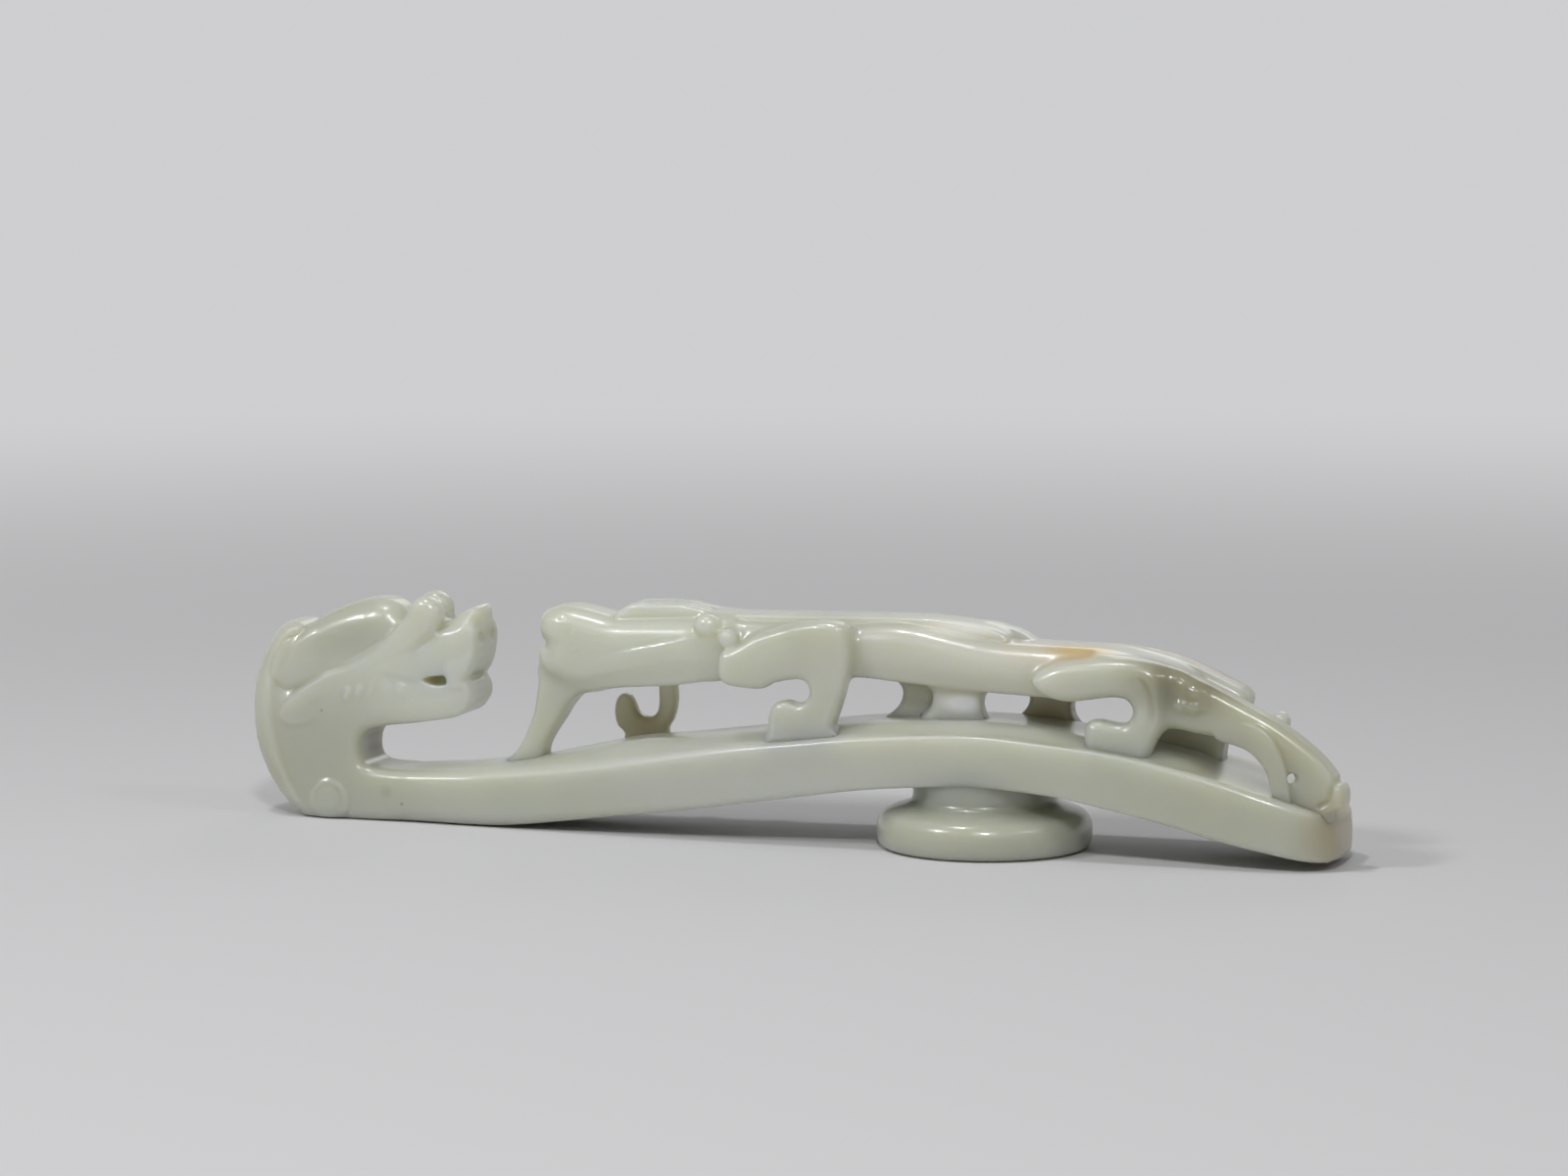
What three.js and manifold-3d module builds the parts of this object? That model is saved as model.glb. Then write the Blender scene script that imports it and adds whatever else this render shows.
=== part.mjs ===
// Jade belt hook, carved from one stone. An arched shaft stands on a round button. At one end
// the shaft turns up and back as a dragon's head, which is the hook. A small hornless dragon, a
// chilong, crouches in openwork on top and faces the hook.
// Millimetres, +Z up. The origin is the centre of the button's foot. The hook is at -X, the
// right side of both animals' spectator is -Y, and each carved element is a solid of its own.

import * as THREE from 'three';
import { mergeVertices } from 'three/addons/utils/BufferGeometryUtils.js';
import Module from 'manifold-3d';

const wasm = await Module();
wasm.setup();

// Fit between carved elements
const clearance = 0.3;

// Shaft
const hookReach = 65.3;
const tailReach = 36.7;
const shaftWidth = 15.5;
const seatHeight = 5.3;
const crownHeight = 12.2;
const archHeight = 6.9;
const shaftEdge = 0.9;

// Button
const buttonRadius = 10.8;
const footInset = 0.7;
const rimHeight = 2.2;
const discHeight = 4.4;
const stemRadius = 7.2;

// Dragon's head and neck
const neckDepth = 12.9;
const headOverhang = 13.5;
const hookHeight = 23.4;
const neckWidth = 8.2;
const maneWidth = 6.4;
const skullWidth = 7.6;
const snoutWidth = 7.4;
const jawWidth = 7.2;
const crestWidth = 6;
const eyeRadius = 1.65;
const eyeSpread = 2.3;
const curlRadius = 1.9;
const curlLift = 0.2;
const reliefHeight = 0.7;
const fangWidth = 1.2;

// Chilong's body
const backRise = 10.3;
const haunchLength = 12;
const bodyHeight = 6;
const bodyWidth = 9;
const pillarLength = 8.4;
const pillarWidth = 5.6;

// Chilong's neck and head
const mouthGap = 4.6;
const neckLength = 9.2;
const chiHeadLength = 20;
const chinDrop = 8.3;
const chiHeadHeight = 8.6;
const muzzleWidth = 6.8;
const chiSkullWidth = 8.4;
const chiJawWidth = 6.6;
const beardWidth = 4;
const browWidth = 2.2;
const browSpread = 0.2;
const browHeight = 1.1;
const earRadius = 1;
const chiEyeRadius = 0.7;

// Chilong's legs
const legThickness = 3;
const legProud = 1.9;
const armOverlap = 8.4;
const foreFrameLength = 14;
const foreRise = 0.3;
const foreFootDrop = 2.3;
const thighOverlap = 1.3;
const hindFrameLength = 14;
const hindDrop = 2.5;
const hindFootDrop = 2.5;
const hindLeftLength = 5.6;
const chinLegInset = 6.9;
const chinLegLength = 6.9;
const chinLegLift = 1.6;
const chinLegRise = 1.2;

// Chilong's tail
const tailLength = 25.5;
const tailOverhang = 1.3;
const tailTopDrop = 1.9;
const tailFootRise = 0.4;
const tailGap = 1.6;
const tailProud = 0.9;
const haunchOverlap = 7.5;
const budRadius = 1.2;

// Shapes' finish
const carvedEdge = 0.8;
const fineEdge = 0.35;

// What follows from these sizes
const footRadius = buttonRadius - footInset;
const headLength = neckDepth + headOverhang;
const backHeight = crownHeight + backRise;
const trunkBase = backHeight - bodyHeight / 2;
const noseReach = hookReach - headOverhang - mouthGap;
const neckReach = noseReach - chiHeadLength;
const shoulderReach = neckReach - neckLength;
const tailRootReach = tailReach + tailOverhang - tailLength;
const haunchReach = tailRootReach + haunchOverlap;
const trunkReach = haunchReach - haunchLength;
const chinHeight = backHeight - chinDrop;
const legOuter = bodyWidth / 2 + legProud;
const tailOuter = bodyWidth / 2 + tailProud;

// Stations of the shaft, from its hook end to its tail end: the share of the length, of the
// underside's lift, of the top's rise from seat to crown, and of the width.
const shaftShares = [
  [0.00, 0.00, 0.00, 0.55],
  [0.09, 0.00, 0.00, 0.56],
  [0.15, 0.01, 0.13, 0.61],
  [0.21, 0.09, 0.23, 0.68],
  [0.27, 0.25, 0.36, 0.74],
  [0.34, 0.40, 0.54, 0.80],
  [0.41, 0.55, 0.70, 0.85],
  [0.48, 0.73, 0.83, 0.89],
  [0.55, 0.89, 0.95, 0.92],
  [0.62, 0.99, 1.00, 0.95],
  [0.68, 1.00, 0.97, 0.97],
  [0.74, 0.90, 0.88, 0.98],
  [0.80, 0.74, 0.77, 1.00],
  [0.85, 0.56, 0.64, 1.00],
  [0.90, 0.38, 0.45, 0.98],
  [0.95, 0.24, 0.21, 0.95],
  [0.975, 0.18, 0.08, 0.85],
  [0.99, 0.17, 0.02, 0.68],
  [1.00, 0.19, 0.00, 0.40],
];

// The button's shoulder, as shares of the way in from its rim to the stem and of the way up
const shoulderShares = [[0.00, 0.00], [0.19, 0.40], [0.52, 0.80], [1.00, 1.00]];

// Outlines of the dragon's neck and mane, as shares of the neck's depth and the hook's height
const neckShares = [
  [1.10, 0.00], [0.68, 0.00], [0.55, 0.03], [0.43, 0.10], [0.33, 0.22], [0.27, 0.36],
  [0.27, 0.50], [0.61, 0.56], [0.92, 0.54], [1.17, 0.48], [1.17, 0.40], [1.06, 0.37],
  [1.00, 0.33], [0.96, 0.28], [0.94, 0.22], [1.10, 0.20],
];
const maneShares = [
  [0.65, 0.00], [0.45, 0.02], [0.29, 0.08], [0.17, 0.18], [0.09, 0.31], [0.07, 0.44],
  [0.09, 0.57], [0.13, 0.69], [0.21, 0.79], [0.31, 0.85], [0.45, 0.86], [0.51, 0.82],
  [0.45, 0.75], [0.39, 0.64], [0.37, 0.50], [0.37, 0.36], [0.41, 0.22], [0.51, 0.10],
];
const maneCurlShare = 0.76;

// Outlines of the dragon's head, as shares of its length and the hook's height
const skullShares = [
  [0.13, 0.52], [0.15, 0.62], [0.19, 0.73], [0.24, 0.80], [0.33, 0.83], [0.47, 0.85],
  [0.63, 0.87], [0.75, 0.87], [0.78, 0.83], [0.79, 0.74], [0.78, 0.66], [0.73, 0.63],
  [0.65, 0.60], [0.61, 0.53], [0.57, 0.45], [0.43, 0.48],
];
const crestShares = [
  [0.24, 0.81], [0.28, 0.86], [0.35, 0.90], [0.41, 0.94], [0.49, 0.97], [0.57, 0.97],
  [0.62, 0.94], [0.65, 0.88], [0.62, 0.83],
];
const snoutShares = [
  [0.77, 0.66], [0.77, 0.85], [0.84, 0.88], [0.91, 0.93], [0.95, 0.96], [0.98, 0.94],
  [0.97, 0.88], [0.98, 0.81], [0.97, 0.74], [0.95, 0.69], [0.93, 0.66], [0.86, 0.66],
  [0.83, 0.67],
];
const jawShares = [
  [0.61, 0.51], [0.66, 0.58], [0.78, 0.60], [0.84, 0.59], [0.91, 0.60], [0.95, 0.61],
  [0.97, 0.56], [0.95, 0.51], [0.92, 0.48], [0.88, 0.46], [0.82, 0.45], [0.71, 0.43],
  [0.63, 0.42], [0.55, 0.40], [0.56, 0.46],
];
const lockShares = [
  [0.72, 0.90], [0.66, 0.84], [0.58, 0.78], [0.48, 0.73], [0.38, 0.68], [0.30, 0.65],
  [0.21, 0.60], [0.19, 0.63], [0.27, 0.70], [0.38, 0.75], [0.48, 0.80], [0.57, 0.86],
  [0.66, 0.91],
];
const cheekShares = [
  [0.40, 0.51], [0.42, 0.60], [0.47, 0.62], [0.52, 0.60], [0.50, 0.55], [0.48, 0.49],
  [0.44, 0.46],
];
const fangShares = [[0.85, 0.67], [0.86, 0.61], [0.89, 0.59], [0.92, 0.61], [0.93, 0.67]];
const eyeShare = [0.74, 0.94];
const throatShare = [0.60, 0.43];

// Outlines of the chilong's head, as shares of its length and height
const muzzleShares = [
  [0.07, 0.25], [0.05, 0.34], [0.05, 0.46], [0.07, 0.53], [0.05, 0.62], [0.05, 0.75],
  [0.08, 0.89], [0.14, 0.97], [0.22, 0.99], [0.32, 0.97], [0.33, 0.30],
];
const chiSkullShares = [
  [0.33, 0.97], [0.45, 0.92], [0.56, 0.93], [0.72, 0.95], [0.86, 0.94], [0.96, 0.90],
  [1.00, 0.70], [0.99, 0.48], [0.71, 0.38], [0.32, 0.31],
];
const chiJawShares = [
  [0.06, 0.20], [0.33, 0.27], [0.71, 0.34], [1.00, 0.44], [1.02, 0.24], [0.85, 0.15],
  [0.74, 0.11], [0.58, 0.08], [0.40, 0.02], [0.29, 0.00], [0.16, 0.04], [0.05, 0.11],
];
const browShares = [
  [0.44, 0.00], [0.49, 0.75], [0.56, 1.00], [0.79, 1.00], [0.87, 0.85], [0.92, 0.00],
];
const browBaseShare = 0.93;
const earShare = [0.97, 0.85];
const earShares = [1.3, 0.6, 1.0];
const chiEyeShare = [0.24, 0.80];
const napeShare = [1.00, 0.60];

// Outline of its beard, as shares of the head's length and of the height from seat to chin
const beardShares = [
  [0.03, 1.15], [0.02, 1.00], [0.01, 0.73], [-0.01, 0.54], [-0.04, 0.38], [-0.07, 0.25],
  [-0.12, 0.05], [0.06, 0.05], [0.06, 0.30], [0.08, 0.45], [0.12, 0.61], [0.15, 0.76],
  [0.21, 0.88], [0.27, 1.02], [0.17, 1.10],
];

// Outlines of the legs, as shares of their own length and height
const foreArmShares = [
  [0.00, 0.64], [0.01, 0.49], [0.05, 0.43], [0.10, 0.41], [0.31, 0.41], [0.42, 0.46],
  [0.54, 0.47], [0.63, 0.50], [0.68, 0.57], [0.88, 0.97], [0.71, 0.99], [0.50, 0.93],
  [0.35, 0.88], [0.19, 0.76],
];
const forePawShares = [
  [0.90, 0.97], [0.97, 0.88], [1.00, 0.70], [0.99, 0.55], [0.96, 0.34], [0.91, 0.20],
  [0.89, -0.05], [0.39, -0.05], [0.37, 0.25], [0.40, 0.32], [0.44, 0.35], [0.50, 0.36],
  [0.58, 0.33], [0.65, 0.35], [0.69, 0.41], [0.67, 0.48], [0.68, 0.55],
];
const hindThighShares = [
  [0.00, 0.73], [0.04, 0.80], [0.14, 0.88], [0.36, 0.96], [0.60, 0.98], [0.86, 0.94],
  [0.95, 0.77], [0.66, 0.63], [0.50, 0.60], [0.36, 0.57], [0.25, 0.56], [0.09, 0.62],
];
const hindPawShares = [
  [0.66, 0.66], [0.93, 0.78], [1.00, 0.57], [0.96, 0.35], [0.87, 0.25], [0.81, 0.18],
  [0.80, -0.02], [0.34, -0.02], [0.32, 0.31], [0.34, 0.38], [0.39, 0.42], [0.50, 0.39],
  [0.61, 0.38], [0.66, 0.49], [0.63, 0.56],
];
const hipCurlShare = [1.14, 0.67];
const chinLegShares = [
  [0.97, 1.00], [0.99, 0.66], [0.93, 0.43], [0.82, 0.26], [0.82, 0.00], [0.16, 0.00],
  [0.07, 0.30], [0.00, 0.50], [0.05, 0.68], [0.18, 0.72], [0.30, 0.64], [0.38, 0.50],
  [0.49, 0.45], [0.62, 0.46], [0.71, 0.54], [0.72, 0.76], [0.70, 1.00],
];
const hindLeftShares = [
  [0.20, 0.00], [0.20, 0.35], [0.15, 0.62], [0.00, 0.85], [0.00, 1.00], [1.00, 1.00],
  [1.00, 0.80], [0.95, 0.50], [0.98, 0.25], [1.00, 0.00],
];

// Outlines of the two branches of the tail and of its claw, as shares of its length and height
const tailShares = [
  [0.14, 0.95], [0.26, 0.93], [0.38, 0.86], [0.54, 0.75], [0.62, 0.69], [0.69, 0.63],
  [0.77, 0.56], [0.84, 0.47], [0.91, 0.34], [0.96, 0.23], [1.00, 0.15], [0.99, 0.05],
  [0.95, 0.01], [0.89, 0.08], [0.82, 0.20], [0.76, 0.31], [0.72, 0.43], [0.66, 0.50],
  [0.54, 0.47], [0.46, 0.47], [0.32, 0.50], [0.25, 0.56], [0.18, 0.70],
];
const tailClawShares = [
  [0.53, 0.44], [0.59, 0.37], [0.64, 0.31], [0.68, 0.18], [0.69, 0.00], [0.76, 0.00],
  [0.75, 0.18], [0.73, 0.34], [0.71, 0.47], [0.62, 0.53],
];
const tailLeftShares = [
  [-0.02, 0.98], [0.08, 0.98], [0.22, 0.93], [0.38, 0.85], [0.46, 0.80], [0.52, 0.72],
  [0.54, 0.65], [0.60, 0.59], [0.58, 0.53], [0.44, 0.56], [0.28, 0.62], [0.10, 0.70],
  [-0.01, 0.80],
];
const tailStrutShares = [
  [0.24, 0.64], [0.19, 0.35], [0.15, 0.15], [0.42, 0.15], [0.47, 0.40], [0.51, 0.64],
];
const budShare = [0.63, 0.56];

// Stations of the chilong's neck, trunk and haunch: the share of the length, of the width, of
// the height, and of the height that the middle is sunk below the back line.
const chiNeckShares = [
  [0.00, 0.72, 0.92, 0.02], [0.50, 0.80, 0.95, 0.00], [1.00, 0.92, 0.98, 0.00],
];
const trunkShares = [
  [0.00, 0.92, 0.98, 0.00], [0.15, 1.00, 0.96, 0.00], [0.35, 0.92, 0.93, 0.00],
  [0.55, 0.88, 0.98, 0.01], [0.75, 0.94, 1.00, 0.12], [1.00, 1.00, 0.98, 0.23],
];
const haunchShares = [
  [0.00, 1.00, 0.98, 0.23], [0.50, 1.02, 0.98, 0.28], [1.00, 0.90, 1.00, 0.47],
];

// The pillar under the belly: where it stands along the trunk, and its stations, which are the
// share of the height, of the length and of the width
const pillarShare = 0.52;
const pillarShares = [
  [0.00, 0.86, 0.80], [0.30, 0.78, 0.62], [0.65, 0.86, 0.62], [1.00, 1.10, 0.80],
];

const material = (name, color, roughness) => {
  const made = new THREE.MeshStandardMaterial({ color, roughness, metalness: 0 });
  made.name = name;
  return made;
};
const jade = material('white_jade', 0xb9bba9, 0.32);
const shade = material('greyish_jade', 0xa9a893, 0.34);
const russet = material('russet_jade', 0xb79c74, 0.36);

// Turns shares of a length and a height into places in the XZ plane
const framed = (left, bottom, length, height) => (shares) =>
  shares.map(([along, up]) => new THREE.Vector2(left + along * length, bottom + up * height));

const headLeft = -hookReach - neckDepth;
const inNeck = framed(headLeft, 0, neckDepth, hookHeight);
const inHead = framed(headLeft, 0, headLength, hookHeight);
const inChiHead = framed(-noseReach, chinHeight, chiHeadLength, chiHeadHeight);
const inBeard = framed(-noseReach, seatHeight, chiHeadLength, chinHeight - seatHeight);

const foreBottom = crownHeight - foreFootDrop;
const foreTop = backHeight + foreRise;
const inFore = framed(-shoulderReach - armOverlap, foreBottom, foreFrameLength, foreTop - foreBottom);

const hindBottom = crownHeight - hindFootDrop;
const hindTop = backHeight - hindDrop;
const inHind = framed(trunkReach - thighOverlap, hindBottom, hindFrameLength, hindTop - hindBottom);
const inHindLeft = framed(trunkReach - hindLeftLength, archHeight, hindLeftLength, trunkBase - archHeight);

const chinLegBottom = seatHeight + chinLegLift;
const chinLegTop = chinHeight + chinLegRise;
const inChinLeg = framed(
  -noseReach + chinLegInset, chinLegBottom, chinLegLength, chinLegTop - chinLegBottom);

const tailBottom = seatHeight + tailFootRise;
const tailTop = backHeight - tailTopDrop;
const inTail = framed(tailRootReach, tailBottom, tailLength, tailTop - tailBottom);

// A closed solid of rings that all have the same number of points. The caps are the triangles of
// the first and last ring.
function lofted(rings, caps = fan(rings[0].length)) {
  const size = rings[0].length;
  const faces = [];
  for (let ring = 0; ring + 1 < rings.length; ring += 1) {
    for (let side = 0; side < size; side += 1) {
      const a = ring * size + side;
      const b = ring * size + (side + 1) % size;
      faces.push(a, b, a + size, b, b + size, a + size);
    }
  }
  const last = (rings.length - 1) * size;
  caps.forEach(([a, b, c]) => faces.push(a, c, b, last + a, last + b, last + c));
  const geometry = new THREE.BufferGeometry().setFromPoints(rings.flat());
  geometry.setIndex(faces);
  return outward(geometry);
}

const fan = (size) => Array.from({ length: size - 2 }, (_, at) => [0, at + 1, at + 2]);

// Turns a closed geometry's faces to point out
function outward(geometry) {
  const place = geometry.getAttribute('position');
  const index = geometry.getIndex();
  const corner = (at) => new THREE.Vector3().fromBufferAttribute(place, index.getX(at));
  let volume = 0;
  for (let face = 0; face < index.count; face += 3) {
    volume += corner(face).dot(corner(face + 1).cross(corner(face + 2)));
  }
  if (volume < 0) {
    for (let face = 0; face < index.count; face += 3) {
      const first = index.getX(face);
      index.setX(face, index.getX(face + 1));
      index.setX(face + 1, first);
    }
  }
  return geometry;
}

// A rounded rectangle across the X axis
function boxRing(x, halfWidth, low, high, radius, steps) {
  const heightShare = 0.45;
  const widthShare = 0.9;
  const corner = Math.min(radius, heightShare * (high - low), widthShare * halfWidth);
  const centres = [[1, high], [-1, high], [-1, low], [1, low]];
  const ring = [];
  centres.forEach(([side, level], quarter) => {
    const inward = level === high ? -corner : corner;
    for (let step = 0; step <= steps; step += 1) {
      const angle = (quarter + step / steps) * Math.PI / 2;
      const y = side * (halfWidth - corner) + corner * Math.cos(angle);
      const z = level + inward + corner * Math.sin(angle);
      ring.push(new THREE.Vector3(x, y, z));
    }
  });
  return ring;
}

// An oval across the X axis
function ovalRing(x, halfWidth, middle, halfHeight) {
  const points = 16;
  const squareness = 0.5;
  const bulge = (value) => Math.sign(value) * Math.abs(value) ** squareness;
  return Array.from({ length: points }, (_, at) => {
    const angle = at / points * 2 * Math.PI;
    const y = halfWidth * bulge(Math.cos(angle));
    const z = middle + halfHeight * bulge(Math.sin(angle));
    return new THREE.Vector3(x, y, z);
  });
}

// How far each corner of an outline may be drawn in: the edge's round, or less where it is narrow
function rounds(outline, edge) {
  const narrowShare = 0.35;
  const line = new THREE.Line3();
  const foot = new THREE.Vector3();
  const flat = outline.map((point) => new THREE.Vector3(point.x, point.y, 0));
  return flat.map((point, at) => flat.reduce((round, start, from) => {
    const to = (from + 1) % flat.length;
    if (from === at || to === at) {
      return round;
    }
    line.set(start, flat[to]).closestPointToPoint(point, true, foot);
    return Math.min(round, narrowShare * foot.distanceTo(point));
  }, edge));
}

// An outline whose corners are moved out by the given amounts
function moved(outline, amounts) {
  const sharpest = 0.6;
  return outline.map((point, at) => {
    const before = outline.at(at - 1);
    const after = outline[(at + 1) % outline.length];
    const first = new THREE.Vector2(point.y - before.y, before.x - point.x).normalize();
    const second = new THREE.Vector2(after.y - point.y, point.x - after.x).normalize();
    const out = first.clone().add(second).normalize();
    const stretch = 1 / Math.max(sharpest, out.dot(first));
    return point.clone().addScaledVector(out, amounts[at] * stretch);
  });
}

// A carved plate: its outline lies in the XZ plane, and it runs from near to far along Y
function carved(places, near, far, edge, grow = 0) {
  const outline = THREE.ShapeUtils.isClockWise(places) ? [...places].reverse() : places;
  const room = rounds(outline, edge);
  const quarter = [0, Math.PI / 4, Math.PI / 2];
  const rim = (angle, level) => {
    const amounts = room.map((round) => grow - round * (1 - Math.sin(angle)));
    return moved(outline, amounts).map((point) => new THREE.Vector3(point.x, level, point.y));
  };
  const inset = (angle) => edge * (1 - Math.cos(angle)) - grow;
  const nearRims = quarter.map((angle) => rim(angle, near + inset(angle)));
  const farRims = quarter.map((angle) => rim(angle, far - inset(angle)));
  const caps = THREE.ShapeUtils.triangulateShape(outline, []);
  return lofted([...nearRims, ...farRims.reverse()], caps);
}

// The same plate about the middle line
const carvedCentre = (places, width, grow = 0) =>
  carved(places, -width / 2, width / 2, carvedEdge, grow);

// The same plate on the right side or, mirrored, on the left side
function carvedSide(places, inner, outer, edge, side, grow = 0) {
  const [near, far] = side < 0 ? [-outer, -inner] : [inner, outer];
  return carved(places, near, far, edge, grow);
}

// A ball, stretched to its three half sizes
function ball(centre, halfX, halfY, halfZ) {
  const roundness = 2;
  const geometry = new THREE.IcosahedronGeometry(1, roundness);
  geometry.scale(halfX, halfY, halfZ);
  geometry.translate(centre.x, centre.y, centre.z);
  return geometry;
}

// A low domed boss on a side face
function boss(spot, radius, inner, outer, side) {
  const bossSides = 20;
  const rim = inner + (outer - inner) / 2;
  const profile = [
    new THREE.Vector2(0, inner),
    new THREE.Vector2(radius, inner),
    new THREE.Vector2(radius, rim),
    new THREE.Vector2(radius - (outer - rim), outer),
    new THREE.Vector2(0, outer),
  ];
  const geometry = new THREE.LatheGeometry(profile, bossSides);
  if (side < 0) {
    geometry.rotateX(Math.PI);
  }
  geometry.translate(spot.x, 0, spot.y);
  return geometry;
}

function solid(geometry) {
  const bare = geometry.clone();
  bare.deleteAttribute('normal');
  bare.deleteAttribute('uv');
  const merged = mergeVertices(bare);
  const index = merged.getIndex().array;
  const kept = [];
  for (let face = 0; face < index.length; face += 3) {
    const [a, b, c] = index.slice(face, face + 3);
    if (a !== b && b !== c && c !== a) {
      kept.push(a, b, c);
    }
  }
  return new wasm.Manifold(new wasm.Mesh({
    numProp: 3,
    vertProperties: new Float32Array(merged.getAttribute('position').array),
    triVerts: new Uint32Array(kept),
  }));
}

// What is left of a geometry once its neighbours are cut out of it
function cutBy(geometry, ...neighbours) {
  return neighbours.reduce((rest, neighbour) => rest.subtract(solid(neighbour)), solid(geometry));
}

// A named mesh whose geometry is kept about its own anchor
function element(name, made, paint, anchor) {
  const left = made.getMesh();
  const geometry = new THREE.BufferGeometry();
  const places = new Float32Array(left.vertProperties);
  geometry.setAttribute('position', new THREE.BufferAttribute(places, 3));
  geometry.setIndex(new THREE.BufferAttribute(new Uint32Array(left.triVerts), 1));
  geometry.translate(-anchor.x, -anchor.y, -anchor.z);
  geometry.computeVertexNormals();
  const mesh = new THREE.Mesh(geometry, paint);
  mesh.name = name;
  mesh.position.copy(anchor);
  return mesh;
}

const sides = [['right', -1], ['left', 1]];

// Shaft and button

function shaft(grow = 0) {
  const length = hookReach + tailReach;
  const cornerSteps = 3;
  const rings = shaftShares.map(([along, lift, rise, wide], at) => {
    const x = -hookReach + along * length + endGrow(at, shaftShares, grow);
    const low = lift * archHeight - grow;
    const high = seatHeight + rise * (crownHeight - seatHeight) + grow;
    return boxRing(x, wide * shaftWidth / 2 + grow, low, high, shaftEdge, cornerSteps);
  });
  return lofted(rings);
}

// How far an end ring moves out when its loft grows
function endGrow(at, shares, grow) {
  if (at === 0) {
    return -grow;
  }
  return at === shares.length - 1 ? grow : 0;
}

function turned(profile) {
  const turnSides = 48;
  const geometry = new THREE.LatheGeometry(profile, turnSides);
  geometry.rotateX(Math.PI / 2);
  return geometry;
}

function buttonDisc() {
  const shoulder = shoulderShares.map(([inward, up]) => new THREE.Vector2(
    buttonRadius - inward * (buttonRadius - stemRadius),
    rimHeight + up * (discHeight - rimHeight),
  ));
  return turned([
    new THREE.Vector2(0, 0),
    new THREE.Vector2(footRadius, 0),
    new THREE.Vector2(buttonRadius, footInset),
    ...shoulder,
    new THREE.Vector2(0, discHeight),
  ]);
}

function buttonStem() {
  const column = turned([
    new THREE.Vector2(0, discHeight),
    new THREE.Vector2(stemRadius, discHeight),
    new THREE.Vector2(stemRadius, archHeight),
    new THREE.Vector2(0, archHeight),
  ]);
  return cutBy(column, shaft(clearance));
}

// Dragon's head, which is the hook

const neck = (grow = 0) => carvedCentre(inNeck(neckShares), neckWidth, grow);
const mane = (grow = 0) => carvedCentre(inNeck(maneShares), maneWidth, grow);
const skull = (grow = 0) => carvedCentre(inHead(skullShares), skullWidth, grow);
const snout = (grow = 0) => carvedCentre(inHead(snoutShares), snoutWidth, grow);
const jaw = (grow = 0) => carvedCentre(inHead(jawShares), jawWidth, grow);
const crest = (grow = 0) => carvedCentre(inHead(crestShares), crestWidth, grow);

function eye(side, grow = 0) {
  const [spot] = inHead([eyeShare]);
  const size = eyeRadius + grow;
  return ball(new THREE.Vector3(spot.x, side * eyeSpread, spot.y), size, size, size);
}

function onSide(shares, width, side) {
  const inner = width / 2 + clearance;
  return carvedSide(inHead(shares), inner, inner + reliefHeight, fineEdge, side);
}

function fang(side) {
  const outer = snoutWidth / 2 - carvedEdge;
  return carvedSide(inHead(fangShares), outer - fangWidth, outer, fineEdge, side);
}

function maneCurl(side) {
  const spot = new THREE.Vector2(headLeft + maneCurlShare * neckDepth, curlRadius + curlLift);
  const inner = neckWidth / 2 + clearance;
  return boss(spot, curlRadius, inner, inner + reliefHeight, side);
}

function dragonHead() {
  const group = new THREE.Group();
  const [throat] = inHead([throatShare]);
  const anchor = new THREE.Vector3(throat.x, 0, throat.y);
  const add = (name, made) => group.add(element(name, made, jade, anchor));
  add('hook_neck', cutBy(neck(), shaft(clearance)));
  add('mane_ridge', cutBy(mane(), neck(clearance), skull(clearance)));
  add('skull', cutBy(skull(), neck(clearance)));
  add('snout', cutBy(snout(), skull(clearance)));
  add('lower_jaw', cutBy(jaw(), skull(clearance), neck(clearance), snout(clearance)));
  const eyes = sides.map(([, side]) => eye(side, clearance));
  const cheekWidth = Math.max(neckWidth, skullWidth);
  add('head_crest', cutBy(crest(), skull(clearance), mane(clearance), ...eyes));
  sides.forEach(([word, side]) => {
    add(`eye_${word}`, cutBy(eye(side), skull(clearance), snout(clearance)));
    add(`side_lock_${word}`, solid(onSide(lockShares, skullWidth, side)));
    add(`cheek_fin_${word}`, solid(onSide(cheekShares, cheekWidth, side)));
    add(`fang_${word}`, cutBy(fang(side), snout(clearance), jaw(clearance)));
    add(`mane_curl_${word}`, cutBy(maneCurl(side), shaft(clearance)));
  });
  return group;
}

// Chilong's head

const muzzle = (grow = 0) => carvedCentre(inChiHead(muzzleShares), muzzleWidth, grow);
const chiSkull = (grow = 0) => carvedCentre(inChiHead(chiSkullShares), chiSkullWidth, grow);
const chiJaw = (grow = 0) => carvedCentre(inChiHead(chiJawShares), chiJawWidth, grow);
const beard = () => carvedCentre(inBeard(beardShares), beardWidth);

function brow(side) {
  const base = chinHeight + browBaseShare * chiHeadHeight;
  const places = framed(-noseReach, base, chiHeadLength, browHeight)(browShares);
  return carvedSide(places, browSpread, browSpread + browWidth, fineEdge, side);
}

function ear(side, grow = 0) {
  const [spot] = inChiHead([earShare]);
  const middle = side * (chiSkullWidth / 2 + clearance + earRadius / 2);
  const sizes = earShares.map((share) => share * (earRadius + grow));
  return ball(new THREE.Vector3(spot.x, middle, spot.y), ...sizes);
}

function chiEye(side) {
  const [spot] = inChiHead([chiEyeShare]);
  const middle = side * (muzzleWidth / 2 + clearance);
  return ball(new THREE.Vector3(spot.x, middle, spot.y), chiEyeRadius, chiEyeRadius, chiEyeRadius);
}

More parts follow.
